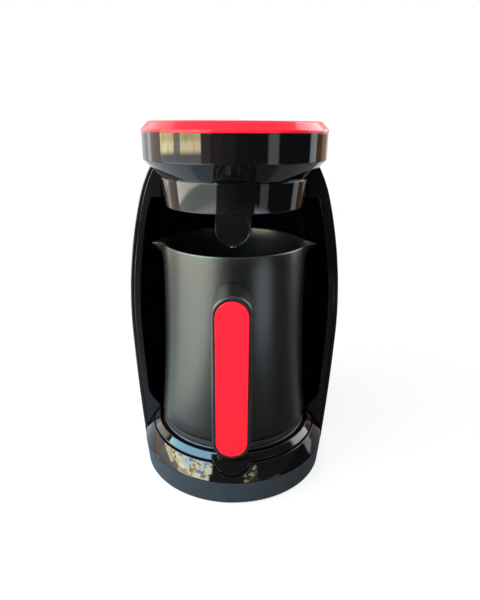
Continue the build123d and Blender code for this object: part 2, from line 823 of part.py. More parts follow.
# flanges on both sides of the bay, the face of the neck, and curved toes over the seat ring
with BuildPart() as front_frame:
    with BuildSketch(Plane.XZ):
        barrel_fill(liner_inset, liner_low, shell_top)
        mirror(about=Plane.YZ)
    extrude(amount=-liner_wall)
    add(bay.part, mode=Mode.SUBTRACT)
    with BuildSketch(Plane.XZ):
        toe_edge_r = barrel_r(toe_top) - cavity_inset
        with BuildLine():
            ThreePointArc(
                (toe_tip_r, toe_tip),
                ((toe_tip_r + toe_edge_r) / 2 + toe_sag, (toe_tip + toe_top) / 2 - toe_sag),
                (toe_edge_r, toe_top),
            )
            Polyline(
                (toe_edge_r, toe_top),
                (toe_edge_r + flange_wide / 2, toe_top),
                (barrel_r(liner_low) - liner_inset - flange_wide / 2, liner_low),
                (toe_tip_r, liner_low),
                (toe_tip_r, toe_tip),
            )
        make_face()
        mirror(about=Plane.YZ)
    extrude(amount=-liner_wall)
    clear_head()
    clear_base()
write(front_frame, "front_frame")

strap_front = column_front + column_wall + snug
with BuildPart() as column_frame:
    with BuildSketch(Plane.XY.offset(ring_top + 2 * seam)):
        with Locations((0, strap_front)):
            Rectangle(2 * strap_half, strap_wall, align=(Align.CENTER, Align.MIN))
    extrude(amount=neck_low - ring_top - 2 * seam)
    with BuildSketch(Plane.XY.offset(ring_top + 2 * seam)):
        with GridLocations(2 * strap_half - strap_wall, 1, 2, 1):
            with Locations((0, strap_front)):
                Rectangle(strap_wall, strap_lip, align=(Align.CENTER, Align.MIN))
    extrude(amount=strap_lip_top - ring_top)
    with BuildSketch(Plane.XZ.offset(-strap_front)):
        with Locations((0, (ring_top + neck_low) / 2)):
            with GridLocations(1, strap_slot_pitch, 1, strap_slots):
                SlotOverall(strap_slot_long, strap_slot_wide, rotation=90)
    extrude(amount=-strap_wall, mode=Mode.SUBTRACT)
    with BuildSketch(Plane.XZ):
        barrel_fill(liner_inset, ring_top, shell_top)
    turn(180, Mode.INTERSECT)
write(column_frame, "column_frame")

neck_top = neck_low + neck_wall
with BuildPart() as neck_frame:
    with BuildSketch(Plane.XZ):
        barrel_fill(liner_inset, neck_low, neck_top, inner=cone_low_r + seam)
    turn(180)
    with BuildSketch(Plane.XY.offset(neck_low)):
        with PolarLocations(neck_screw_circle, 3, start_angle=40, angular_range=100, endpoint=True):
            Circle(neck_post_r)
    extrude(amount=cone_high - neck_low)
    with BuildSketch(Plane.XY.offset(neck_low)):
        with PolarLocations(neck_screw_circle, 3, start_angle=40, angular_range=100, endpoint=True):
            Circle(neck_screw_r + screw_play)
    extrude(amount=cone_high - neck_low, mode=Mode.SUBTRACT)
    clear_head()
    with BuildSketch(Plane.XZ):
        barrel_fill(liner_inset, neck_low, shell_top)
    turn(180, Mode.INTERSECT)
    with BuildSketch(Plane.XY.offset(neck_low)):
        Rectangle(2 * belly_r, 2 * (liner_wall + snug))
    extrude(amount=neck_wall, mode=Mode.SUBTRACT)
write(neck_frame, "neck_frame")

# ---- Head --------------------------------------------------------------------------------------
with BuildPart() as head_ring:
    with BuildSketch(Plane.XZ):
        outline(
            (ring_r, ring_high),
            (ring_low_r, cone_high),
            (cone_low_r, cone_low),
            (head_flange_r, cone_low),
            (head_flange_r, cone_low + head_flange),
            (cone_low_r - 0.4 * head_wall, cone_low + head_flange),
            (ring_low_r - head_wall, cone_high + 0.4 * head_wall),
            (ring_r - head_wall, ring_high),
        )
    turn()
    fillet(rims(head_ring, (ring_low_r, cone_high), (cone_low_r, cone_low)), head_round)
    # bosses over the neck screws, and posts down to the collar's floor
    with BuildSketch(Plane.XY.offset(cone_low)):
        with PolarLocations(neck_screw_circle, 3, start_angle=40, angular_range=100, endpoint=True):
            Circle(neck_post_r)
    extrude(amount=neck_boss_high)
    with BuildSketch(Plane.XZ):
        outline(
            (cone_low_r, cone_low), (ring_low_r, cone_high), (2 * ring_r, cone_high), (2 * ring_r, cone_low)
        )
    turn(360, Mode.SUBTRACT)
    with BuildSketch(Plane.XY.offset(neck_low)):
        with PolarLocations(neck_screw_circle, 3, start_angle=40, angular_range=100, endpoint=True):
            Circle(neck_screw_r + screw_play)
    extrude(amount=neck_screw_long + seam, mode=Mode.SUBTRACT)
    with BuildSketch(Plane.XY.offset(floor_high)):
        with PolarLocations(floor_screw_circle, 3, start_angle=90):
            Circle(floor_post_r)
    extrude(amount=cone_low + head_flange / 2 - floor_high)
    with BuildSketch(Plane.XY.offset(floor_high)):
        with PolarLocations(floor_screw_circle, 3, start_angle=90):
            Circle(floor_screw_r + screw_play)
    extrude(amount=floor_screw_long, mode=Mode.SUBTRACT)
write(head_ring, "head_ring")

with BuildPart() as neck_screws:
    with BuildSketch(Plane.XY.offset(neck_low)):
        with PolarLocations(neck_screw_circle, 3, start_angle=40, angular_range=100, endpoint=True):
            Circle(neck_screw_head_r)
    extrude(amount=-neck_screw_head)
    with BuildSketch(Plane.XY.offset(neck_low)):
        with PolarLocations(neck_screw_circle, 3, start_angle=40, angular_range=100, endpoint=True):
            Circle(neck_screw_r)
    extrude(amount=neck_screw_long)
write(neck_screws, "neck_screws")

collar_top = cone_low - ring_gap
with BuildPart() as collar:
    with BuildSketch(Plane.XZ):
        outline(
            (collar_low_r, collar_low),
            (cone_low_r, collar_top),
            (cone_low_r - collar_wall, collar_top),
            (collar_low_r - collar_wall, collar_low),
        )
        spigot_out = cone_low_r - spigot_in
        strip(spigot_out - spigot_wall, spigot_out, collar_top - spigot_low, cone_low)
        ledge_out = collar_low_r - collar_wall / 2
        strip(
            ledge_out - collar_wall / 2 - floor_ledge, ledge_out, floor_high, floor_high + floor_ledge_high
        )
    turn()
    fillet(rims(collar, (collar_low_r, collar_low)), collar_round)
    fillet(rims(collar, (cone_low_r, collar_top)), moulded_round)
write(collar, "collar")

with BuildPart() as head_floor:
    with BuildSketch(Plane.XY.offset(floor_high - floor_wall)):
        Circle(collar_low_r - collar_wall - seam)
        with Locations((0, -tongue_front + tongue_deep / 2)):
            Rectangle(2 * (tongue_half + snug), tongue_deep + 2 * snug, mode=Mode.SUBTRACT)
        with PolarLocations(floor_screw_circle, 3, start_angle=90):
            Circle(floor_screw_r + screw_play, mode=Mode.SUBTRACT)
        with PolarLocations(floor_vent_circle, floor_vents):
            SlotOverall(floor_vent_long, floor_vent_wide, mode=Mode.SUBTRACT)
    extrude(amount=floor_wall)
    with BuildSketch(Plane.XY.offset(floor_high - floor_wall)):
        with PolarLocations(floor_screw_circle, 3, start_angle=90):
            Circle(floor_screw_head_r + screw_recess)
    extrude(amount=floor_screw_head + screw_play, mode=Mode.SUBTRACT)
write(head_floor, "head_floor")

with BuildPart() as floor_screws:
    screws(
        floor_screw_circle,
        3,
        90,
        floor_high - floor_wall + screw_play,
        floor_screw_r,
        floor_screw_long,
        floor_screw_head_r,
        floor_screw_head,
    )
write(floor_screws, "floor_screws")

with BuildPart() as lid:
    with BuildSketch(Plane.XZ):
        inner_r = ring_r - head_wall - seam
        with BuildLine():
            Polyline(
                (0, lid_rim + lid_crown - lid_wall),
                (lid_rim_r - lid_wall, lid_rim - lid_wall),
                (inner_r - lid_wall, lid_edge),
                (inner_r - lid_wall, ring_high - lid_skirt),
                (inner_r, ring_high - lid_skirt),
                (inner_r, ring_high),
                (ring_r + lid_over, ring_high),
                (ring_r + lid_over, lid_edge),
                (lid_rim_r, lid_rim),
            )
            ThreePointArc(
                (lid_rim_r, lid_rim),
                (lid_rim_r / 2, lid_rim + lid_crown * 0.75),
                (0, lid_rim + lid_crown),
            )
            Line((0, lid_rim + lid_crown), (0, lid_rim + lid_crown - lid_wall))
        make_face()
    turn()
    fillet(rims(lid, (lid_rim_r, lid_rim)), lid_round)
    fillet(rims(lid, (ring_r + lid_over, lid_edge)), head_round)
    fillet(rims(lid, (ring_r + lid_over, ring_high)), moulded_round)
write(lid, "lid")

with BuildPart() as head_board:
    with BuildSketch(Plane.XY.offset(cone_low + head_flange)):
        Rectangle(2 * head_board_half, head_board_deep)
    extrude(amount=board_wall)
write(head_board, "head_board")

# ---- Foam sensor --------------------------------------------------------------------------------
with BuildPart() as sensor_housing:
    tongue_plane = Plane.XZ.offset(tongue_front)
    with BuildSketch(tongue_plane):
        with BuildLine():
            tongue_mid = tongue_low + tongue_half
            ThreePointArc((-tongue_half, tongue_mid), (0, tongue_low), (tongue_half, tongue_mid))
            Polyline(
                (-tongue_half, tongue_mid),
                (-tongue_half, tongue_top),
                (tongue_half, tongue_top),
                (tongue_half, tongue_mid),
            )
        make_face()
    extrude(amount=-tongue_deep)
    with BuildSketch(tongue_plane):
        with Locations((0, tongue_mid)):
            Circle(tongue_half - tongue_rim)
    extrude(amount=-tongue_relief, mode=Mode.SUBTRACT)
    with BuildSketch(Plane.XY.offset(floor_high)):
        with Locations((0, tongue_relief - tongue_front)):
            Rectangle(2 * tongue_flange, tongue_flange_deep, align=(Align.CENTER, Align.MIN))
    extrude(amount=tongue_flange_high)
    with BuildSketch(Plane.XY.offset(tongue_low - reach)):
        with Locations((0, probe_y)):
            Circle(probe_shank_r + snug)
    extrude(amount=reach + probe_sunk + probe_room, mode=Mode.SUBTRACT)
write(sensor_housing, "sensor_housing")

with BuildPart() as sensor_probe:
    with BuildSketch(Plane(origin=(0, probe_y, 0), x_dir=(1, 0, 0), z_dir=(0, -1, 0))):
        with BuildLine():
            ThreePointArc((0, probe_low), (probe_r * 0.7, probe_low + 0.5), (probe_r, tongue_low - seam))
            Polyline(
                (probe_r, tongue_low - seam),
                (probe_shank_r, tongue_low - seam),
                (probe_shank_r, tongue_low + probe_sunk),
                (0, tongue_low + probe_sunk),
                (0, probe_low),
            )
        make_face()
    revolve(axis=Axis((0, probe_y, 0), (0, 0, 1)))
write(sensor_probe, "sensor_probe")

# ---- Pot ---------------------------------------------------------------------------------------
pot_side = circle_through((pot_low_r, pot_low), (pot_waist_r, pot_waist), (pot_rim_r, pot_rim))


def pot_r(height):
    """Outer radius of the pot's wall; the outline is an arc that is hollow outwards."""
    x, z, radius = pot_side
    return x - sqrt(radius**2 - (height - z) ** 2)


def pot_fill(inset, low, high):
    """Section of the pot from the axis to its wall."""
    with BuildLine() as edge:
        arc_edge(pot_r, inset, low, high)
        Polyline((pot_r(high) - inset, high), (0, high), (0, low), (pot_r(low) - inset, low))
    make_face(edge.edges())


def lips(inset, high):
    """The two pouring lips, as lofts from a point in the wall to a beak at the rim."""
    for side in (1, -1):
        root = pot_rim_r - lip_root
        with BuildSketch(Plane.XY.offset(pot_rim - lip_drop)) as lower:
            low_tip = pot_r(pot_rim - lip_drop) - seam - inset
            beak(root, low_tip, lip_half / 3, lip_round / 3, side)
        with BuildSketch(Plane.XY.offset(high)) as upper:
            beak(root, lip_tip_r - inset, lip_half - inset, lip_round - inset / 2, side)
        loft([lower.sketch, upper.sketch])


def beak(root, tip, half, radius, side):
    """Flat outline of a lip: a triangle with a round nose."""
    nose = tip - radius
    with BuildLine() as edge:
        Polyline((side * nose, -radius), (side * root, -half), (side * root, half), (side * nose, radius))
        ThreePointArc((side * nose, -radius), (side * tip, 0), (side * nose, radius))
    make_face(edge.edges())


with BuildPart() as pot_hollow:
    with BuildSketch(Plane.XZ):
        pot_fill(pot_wall, pot_low + pot_floor, pot_rim)
    turn()
    fillet(pot_hollow.edges().group_by(Axis.Z)[0], pot_corner)
    lips(pot_wall, pot_rim)

with BuildPart() as pot_body:
    with BuildSketch(Plane.XZ):
        pot_fill(0, pot_low, pot_rim)
    turn()
    fillet(pot_body.edges().group_by(Axis.Z)[0], pot_corner)
    lips(0, pot_rim)
    add(pot_hollow.part, mode=Mode.SUBTRACT)
write(pot_body, "pot_body")

with BuildPart() as pot_base:
    with BuildSketch(Plane.XY.offset(plate_top)):
        Circle(disc_r)
    extrude(amount=pot_low - plate_top)
    chamfer(pot_base.edges().group_by(Axis.Z)[0], disc_chamfer)
write(pot_base, "pot_base")

# ---- Handle ------------------------------------------------------------------------------------
grip_mid = (grip_low + grip_top) / 2
with BuildPart() as handle_frame:
    with BuildSketch(Plane.YZ):
        with BuildLine():
            Polyline(
                (-grip_back, arm_low - arm_round),
                (-grip_back, grip_low),
                (-grip_front, grip_low),
                (-grip_front, grip_top),
                (-pot_waist_r + reach, grip_top),
                (-pot_waist_r + reach, arm_low),
                (-grip_back + arm_round, arm_low),
            )
            RadiusArc((-grip_back + arm_round, arm_low), (-grip_back, arm_low - arm_round), arm_round)
        make_face()
    extrude(amount=grip_wide, both=True)
    with BuildSketch(Plane.XZ):
        with Locations((0, grip_mid)):
            SlotOverall(grip_top - grip_low, grip_wide, rotation=90)
    extrude(amount=2 * grip_front, mode=Mode.INTERSECT)
    fillet(handle_frame.faces().sort_by(Axis.Y)[0].edges(), grip_round)
    with BuildSketch(Plane.XZ):
        pot_fill(-seam, arm_low - reach, grip_top + reach)
    turn(360, Mode.SUBTRACT)
    # recess for the insert, weight-saving pockets with ribs between them
    with BuildSketch(Plane.XZ.offset(grip_front)):
        with Locations((0, (insert_low + insert_top) / 2)):
            SlotOverall(insert_top - insert_low + 2 * snug, insert_wide + 2 * snug, rotation=90)
    extrude(amount=-insert_deep, mode=Mode.SUBTRACT)
    with BuildSketch(Plane.XZ.offset(grip_front - insert_deep)):
        for number in range(pocket_count):
            with Locations((0, pocket_first + number * pocket_pitch)):
                RectangleRounded(pocket_wide, pocket_long, pocket_round)
    extrude(amount=-pocket_deep, mode=Mode.SUBTRACT)
    # bracket pocket, screw holes and head seats
    bracket_mid = (bracket_low + bracket_top) / 2
    with Locations((0, -pot_waist_r - bracket_deep - snug, bracket_mid)):
        Box(
            2 * (bracket_half + snug),
            2 * bracket_deep,
            bracket_top - bracket_low + 2 * snug,
            align=(Align.CENTER, Align.MIN, Align.CENTER),
            mode=Mode.SUBTRACT,
        )
    with BuildSketch(Plane.XZ.offset(pot_waist_r)):
        with Locations((0, bracket_mid)):
            with GridLocations(1, handle_screw_pitch, 1, 2):
                Circle(handle_screw_r + screw_play)
    extrude(amount=grip_front, mode=Mode.SUBTRACT)
    with BuildSketch(Plane.XZ.offset(handle_screw_seat)):
        with Locations((0, bracket_mid)):
            with GridLocations(1, handle_screw_pitch, 1, 2):
                Circle(handle_screw_head_r + screw_play)
    extrude(amount=grip_front, mode=Mode.SUBTRACT)
write(handle_frame, "handle_frame")

with BuildPart() as handle_insert:
    with BuildSketch(Plane.XZ.offset(grip_front - insert_deep)):
        with Locations((0, (insert_low + insert_top) / 2)):
            SlotOverall(insert_top - insert_low, insert_wide, rotation=90)
    extrude(amount=insert_deep + insert_proud)
    fillet(handle_insert.faces().sort_by(Axis.Y)[0].edges(), insert_round)
write(handle_insert, "handle_insert")

with BuildPart() as handle_bracket:
    with Locations((0, -pot_waist_r - bracket_deep, bracket_mid)):
        Box(
            2 * bracket_half,
            2 * bracket_deep,
            bracket_top - bracket_low,
            align=(Align.CENTER, Align.MIN, Align.CENTER),
        )
    with BuildSketch(Plane.XZ.offset(pot_waist_r)):
        with Locations((0, bracket_mid)):
            with GridLocations(1, handle_screw_pitch, 1, 2):
                Circle(handle_screw_r + screw_play)
    extrude(amount=grip_front, mode=Mode.SUBTRACT)
    with BuildSketch(Plane.XZ):
        pot_fill(0, bracket_low - reach, bracket_top + reach)
    turn(360, Mode.SUBTRACT)
write(handle_bracket, "handle_bracket")

shank_start = pot_waist_r + 4 * seam
with BuildPart() as handle_screws:
    with BuildSketch(Plane.XZ.offset(handle_screw_seat)):
        with Locations((0, bracket_mid)):
            with GridLocations(1, handle_screw_pitch, 1, 2):
                Circle(handle_screw_head_r)
    extrude(amount=handle_screw_head)
    with BuildSketch(Plane.XZ.offset(shank_start)):
        with Locations((0, bracket_mid)):
            with GridLocations(1, handle_screw_pitch, 1, 2):
                Circle(handle_screw_r)
    extrude(amount=handle_screw_seat - shank_start)
write(handle_screws, "handle_screws")
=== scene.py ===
# %% [markdown]
# # An electric Turkish coffee maker, dressed in Blender
#
# The solid model gives every part its place and size.  This lesson adds what the solids can't hold: the
# finish of each surface, the drawn form of the pot, the rolled edges of the mouldings, and the studio that
# shows them.

from math import atan2, cos, hypot, pi, radians, sin

import bpy
from mathutils import Matrix, Vector


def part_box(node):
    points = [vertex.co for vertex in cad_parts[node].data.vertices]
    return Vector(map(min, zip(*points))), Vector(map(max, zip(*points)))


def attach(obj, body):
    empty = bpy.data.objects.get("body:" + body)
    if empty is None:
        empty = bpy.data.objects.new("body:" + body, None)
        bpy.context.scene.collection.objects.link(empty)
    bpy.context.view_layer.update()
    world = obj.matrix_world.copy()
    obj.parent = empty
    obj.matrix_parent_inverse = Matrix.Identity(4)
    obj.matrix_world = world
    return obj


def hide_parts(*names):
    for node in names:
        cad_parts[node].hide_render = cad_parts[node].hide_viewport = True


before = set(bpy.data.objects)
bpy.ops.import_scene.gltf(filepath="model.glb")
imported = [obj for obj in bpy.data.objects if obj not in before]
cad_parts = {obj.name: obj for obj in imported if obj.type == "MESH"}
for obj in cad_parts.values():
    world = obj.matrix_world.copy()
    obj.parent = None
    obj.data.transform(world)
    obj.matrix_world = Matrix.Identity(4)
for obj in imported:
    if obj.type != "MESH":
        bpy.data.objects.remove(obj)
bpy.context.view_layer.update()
mm = 0.001

# %% [markdown]
# ## Camera
#
# The machine stands on a table and is seen from the front and a little above, by somebody close to it.  A
# near camera with a wide lens makes the head look large and the base small.  The lens shift moves the
# machine a little to the left and down in the frame without turning the camera.

# %% Camera
EYE = Vector((5.0, -330.3, 238.2)) * mm
PITCH = radians(20.69)
ROLL = radians(0.3)
LENS = 29.72
SENSOR = 36
SHIFT_X = 0.01
SHIFT_Y = 0.0193
NEAREST = 0.01

bpy.ops.object.camera_add(location=EYE)
camera = bpy.context.object
camera.name = "camera"
turn_to_axis = atan2(EYE.x, -EYE.y)
camera.rotation_mode = "QUATERNION"
camera.rotation_quaternion = (
    Matrix.Rotation(turn_to_axis, 3, "Z")
    @ Matrix.Rotation(pi / 2 - PITCH, 3, "X")
    @ Matrix.Rotation(ROLL, 3, "Z")
).to_quaternion()
camera.data.lens = LENS
camera.data.sensor_width = SENSOR
camera.data.shift_x = SHIFT_X
camera.data.shift_y = SHIFT_Y
camera.data.clip_start = NEAREST
bpy.context.scene.camera = camera
bpy.context.scene.view_settings.view_transform = "Standard"
print("camera", tuple(round(v, 4) for v in camera.location))

# %% [markdown]
# ## A short way to write shaders
#
# A finish is a small network of nodes.  Written out one by one they are hard to read, so a `Wire` stands for
# one output of a node and knows arithmetic: `1 - mask` adds the Math node that does it.  Everything else
# comes from one method, which takes a node's type, its settings and what goes into its sockets.


# %% Shader arithmetic
class Wire:
    """One output of a node; arithmetic on it adds Math nodes."""

    def __init__(self, finish, socket):
        self.finish = finish
        self.socket = socket

    def math(self, operation, first, second=0.0):
        return self.finish.node("ShaderNodeMath", {"operation": operation}, {0: first, 1: second})

    def __add__(self, other):
        return self.math("ADD", self, other)

    def __sub__(self, other):
        return self.math("SUBTRACT", self, other)

    def __rsub__(self, other):
        return self.math("SUBTRACT", other, self)

    def __mul__(self, other):
        return self.math("MULTIPLY", self, other)

    def __truediv__(self, other):
        return self.math("DIVIDE", self, other)

    __radd__ = __add__
    __rmul__ = __mul__


class Tree:
    """A node tree that is filled through one method."""

    def __init__(self, node_tree):
        self.nodes = node_tree.nodes
        self.links = node_tree.links

    def node(self, kind, settings, sockets, out=0):
        """Adds a node: its settings first, then the values or wires of its sockets."""
        made = self.nodes.new(kind)
        for label, value in settings.items():
            if label == "stops":
                self.set_stops(made.color_ramp, value)
            else:
                setattr(made, label, value)
        for label, value in sockets.items():
            self.feed(made.inputs[label], value)
        return Wire(self, made.outputs[out])

    def set_stops(self, ramp, stops):
        while len(ramp.elements) < len(stops):
            ramp.elements.new(0.5)
        for element, (position, value) in zip(ramp.elements, stops):
            element.position = position
            element.color = (*value, 1)

    def feed(self, socket, value):
        if isinstance(value, Wire):
            self.links.new(value.socket, socket)
        else:
            socket.default_value = (*value, 1) if socket.type == "RGBA" else value


print("shader helpers:", Wire.__name__, Tree.__name__)

# %% [markdown]
# ## What finishes are made of
#
# Real surfaces differ in few ways: blotches of some size, a worn edge, hairline scratches, a shallow relief.
# The same edge mask also paints a highlight along the edges of gloss mouldings.
# Each is a short method here, in millimetres, so that a finish below reads like a recipe.  All of them are
# read at Object coordinates, which stay with the piece when it moves.


# %% Finish
class Finish(Tree):
    """A material whose Principled shader is fed by expressions."""

    def __init__(self, name, **constants):
        self.material = bpy.data.materials.new(name)
        self.material.use_nodes = True
        super().__init__(self.material.node_tree)
        self.shader = self.nodes["Principled BSDF"]
        self.place = self.node("ShaderNodeTexCoord", {}, {}, "Object")
        self.put(**constants)

    def put(self, **inputs):
        """Feeds the Principled shader's own sockets."""
        for label, value in inputs.items():
            self.feed(self.shader.inputs[label.replace("_", " ")], value)
        return self.material

    def noise(self, size, detail=3.0, rough=0.5, stretch=(1, 1, 1)):
        """Noise between 0 and 1 whose blobs measure about `size` millimetres."""
        place = self.node("ShaderNodeMapping", {}, {"Vector": self.place, "Scale": stretch})
        sockets = {"Vector": place, "Scale": 1 / (size * mm), "Detail": detail, "Roughness": rough}
        return self.node("ShaderNodeTexNoise", {}, sockets)

    def ramp(self, value, low, high):
        """Goes smoothly from 0 to 1 while the value goes from low to high."""
        return self.node(
            "ShaderNodeMapRange",
            {"interpolation_type": "SMOOTHSTEP"},
            {"Value": value, "From Min": low, "From Max": high},
        )

    def between(self, value, rise, fall):
        """1 between two soft edges: the one where it rises and the one where it falls."""
        return self.ramp(value, *rise) * (1 - self.ramp(value, *fall))

    def mix(self, amount, first, second):
        """Mixes two colours."""
        return self.node("ShaderNodeMix", {"data_type": "RGBA"}, {0: amount, 6: first, 7: second}, 2)

    def rounded(self, width):
        """Normals that run round the edges, as on a moulding with small rounds."""
        return self.node("ShaderNodeBevel", {"samples": 4}, {"Radius": width * mm})

    def bump(self, height, depth, strength, normal=None):
        """Turns a height into a relief, in which a height of 1 is `depth` millimetres."""
        sockets = {"Height": height, "Strength": strength, "Distance": depth * mm}
        if normal:
            sockets["Normal"] = normal
        return self.node("ShaderNodeBump", {}, sockets, "Normal")

    def edge_mask(self, width):
        """Near 1 on sharp edges and 0 on flats: how far a rounded normal leaves the true one."""
        true = self.node("ShaderNodeNewGeometry", {}, {}, "Normal")
        along = self.node(
            "ShaderNodeVectorMath", {"operation": "DOT_PRODUCT"}, {0: self.rounded(width), 1: true}, "Value"
        )
        return self.ramp(1 - along, low=0.02, high=0.25)

    def scratches(self, length, width, turns=(0.3, 1.4, 2.5)):
        """Sparse hairlines, the crests of a drawn-out noise, that run a different way for each turn."""
        lines = 0
        for turn in turns:
            turned = {"Vector": self.place, "Rotation": (turn, turn * 0.7, turn * 1.3)}
            place = self.node("ShaderNodeMapping", {}, turned)
            drawn_out = {"Vector": place, "Scale": (1 / length, 1 / width, 1 / width)}
            thin = self.node("ShaderNodeMapping", {}, drawn_out)
            hair = self.node("ShaderNodeTexNoise", {}, {"Vector": thin, "Scale": 1 / mm, "Detail": 1.0})
            lines = self.ramp(hair, low=0.70, high=0.78) + lines
        return lines


print("finish methods:", [name for name in vars(Finish) if not name.startswith("_")])

# %% [markdown]
# ## Gloss black and gloss red
#
# The head, the rear shell, the bezel and the start key are polished black mouldings.  Polished black shows
# hardly any colour of its own: what the eye reads is the reflection, and how it softens where fingers and
# cloths have been.  So the base colour is nearly black, and the noise goes into the roughness.  Dust specks
# and a painted highlight along the edges lighten the colour a little.  The red lid and the red strip of the
# handle are the same kind of plastic with a softer shine.


# %% Gloss plastics
def moulded_gloss(name, colour, dust_and_rim_highlight, rough, smear, level=0.5):
    finish = Finish(name, IOR=1.5, Specular_IOR_Level=level)
    smears = finish.ramp(finish.noise(38, detail=4, rough=0.6), low=0.5, high=0.8)
    hairs = finish.scratches(length=30, width=0.08)
    specks = finish.ramp(finish.noise(0.9, detail=1), low=0.72, high=0.78)
    ripple = finish.noise(7, detail=1)
    return finish.put(
        # real dust specks, and a painted highlight along the rounded edges, lighten the base colour
        Base_Color=finish.mix(specks * 0.2 + finish.edge_mask(0.4) * 0.3, colour, dust_and_rim_highlight),
        Roughness=rough + smears * smear + hairs * 0.04 + specks * 0.1,
        Normal=finish.bump(ripple, depth=0.008, strength=0.3, normal=finish.rounded(0.35)),
    )


gloss_black = moulded_gloss(
    "gloss_black", colour=(0.0030, 0.0030, 0.0034), dust_and_rim_highlight=(0.03, 0.03, 0.031), rough=0.015, smear=0.05
)
red_gloss = moulded_gloss(
    "red_gloss", colour=(0.86, 0.014, 0.030), dust_and_rim_highlight=(0.9, 0.12, 0.13), rough=0.14, smear=0.08, level=0.2
)
print("gloss finishes:", gloss_black.name, red_gloss.name)

# %% [markdown]
# ## Matte and satin mouldings
#
# The base housing has a spark-eroded grain: thousands of shallow pits about a third of a millimetre wide,
# which scatter light and make the slate black look grey.  The handle has a finer grain and a satin sheen.
# Rubber, silicone, phenolic resin and the relay's case are the same recipe with their own colour and grain.


# %% Matte plastics
def moulded_matte(name, colour, worn, rough, grain, depth, level=0.5):
    finish = Finish(name, IOR=1.5, Specular_IOR_Level=level)
    cloud = finish.noise(24, detail=3)
    pits = finish.noise(grain, detail=2, rough=0.6)
    edge = finish.edge_mask(0.6)
    paler = edge * 0.5 + finish.ramp(cloud, low=0.4, high=0.8) * 0.15
    return finish.put(
        Base_Color=finish.mix(paler, colour, worn),
        Roughness=rough - edge * 0.12 + (cloud - 0.5) * 0.1,
        Normal=finish.bump(pits, depth=depth, strength=0.6, normal=finish.rounded(0.5)),
    )


matte_slate = moulded_matte(
    "matte_slate", (0.022, 0.034, 0.044), (0.05, 0.065, 0.075), rough=0.55, grain=0.35, depth=0.03, level=0.2
)
matte_black = moulded_matte(
    "matte_black", (0.012, 0.012, 0.013), (0.04, 0.04, 0.042), rough=0.5, grain=0.4, depth=0.03
)
satin_black = moulded_matte(
    "satin_black", (0.010, 0.010, 0.011), (0.035, 0.035, 0.037), rough=0.3, grain=0.3, depth=0.01
)
rubber_black = moulded_matte(
    "rubber_black", (0.015, 0.015, 0.015), (0.05, 0.05, 0.048), rough=0.75, grain=0.6, depth=0.04
)
silicone = moulded_matte(
    "silicone", (0.30, 0.07, 0.04), (0.42, 0.16, 0.11), rough=0.6, grain=0.8, depth=0.02
)
phenolic = moulded_matte(
    "phenolic", (0.10, 0.05, 0.03), (0.2, 0.12, 0.08), rough=0.5, grain=0.5, depth=0.03
)
relay_blue = moulded_matte(
    "relay_blue", (0.02, 0.05, 0.14), (0.1, 0.14, 0.22), rough=0.4, grain=0.5, depth=0.02
)
print("matte finishes:", matte_slate.name, matte_black.name, satin_black.name, rubber_black.name)

# %% [markdown]
# ## The pot's coat
#
# The pot is drawn aluminium with a sprayed satin coat.  The coat holds fine metal flakes and a soft
# orange-peel, so it throws a broad, silky highlight to the side that faces the light.  A metallic shader of
# middling roughness gives that, with a fine noise for the flakes.  The black lining and the black foot are
# sprayed too, with paint that holds no metal.


# %% Sprayed coats
def sprayed_coat(name, colour, fleck, rough, metal):
    finish = Finish(name, IOR=1.5, Metallic=metal)
    flakes = finish.ramp(finish.noise(0.35, detail=1), low=0.55, high=0.8)
    cloud = finish.noise(45, detail=3)
    rubbed = finish.scratches(length=22, width=0.15)
    peel = finish.noise(0.8, detail=2) + finish.noise(5, detail=1)
    return finish.put(
        Base_Color=finish.mix(flakes * 0.35 + cloud * 0.15, colour, fleck),
        Roughness=rough + (cloud - 0.5) * 0.08 - rubbed * 0.05,
        Normal=finish.bump(peel, depth=0.012, strength=0.5),
    )


pot_coat = sprayed_coat("pot_coat", (0.070, 0.073, 0.069), (0.11, 0.11, 0.105), rough=0.32, metal=1.0)
pot_lining = sprayed_coat("pot_lining", (0.006, 0.006, 0.007), (0.02, 0.02, 0.02), rough=0.3, metal=0.0)
pot_base_black = sprayed_coat(
    "pot_base_black", (0.015, 0.015, 0.015), (0.04, 0.04, 0.04), rough=0.5, metal=0.0
)
print("coats:", pot_coat.name, pot_lining.name, pot_base_black.name)

# %% [markdown]
# ## Bare metals
#
# The hot plate is turned on a lathe, which leaves shallow rings round its axis, and it darkens where coffee
# boils over.  Its colour is also painted dark, for the shade that falls on it in the gap under the pot.
# Screws and pressed parts are zinc plated, which shows as small crystals and a dull tarnish.  A Wave texture
# makes the rings and a Voronoi texture the crystals.

# %% Turned and plated metals
# how far the phase of a Wave texture runs over one unit, in radians
WAVE_PHASE = 20


def turned_metal(name, colour, dark, rough, ring):
    """Metal with turned rings round the Z axis; from crest to crest is 2 pi times `ring` millimetres."""
    finish = Finish(name, Metallic=1.0)
    scale = 1 / (ring * mm) / WAVE_PHASE
    rings = finish.node(
        "ShaderNodeTexWave",
        {"wave_type": "RINGS", "rings_direction": "Z"},
        {"Vector": finish.place, "Scale": scale, "Distortion": 0.3, "Detail": 1.0},
        "Fac",
    )
    stain = finish.ramp(finish.noise(16, detail=4, rough=0.6), low=0.4, high=0.75)
    return finish.put(
        Base_Color=finish.mix(stain * 0.6, colour, dark),
        Roughness=rough + rings * 0.12 + stain * 0.1,
        Normal=finish.bump(rings, depth=0.02, strength=0.5),
    )


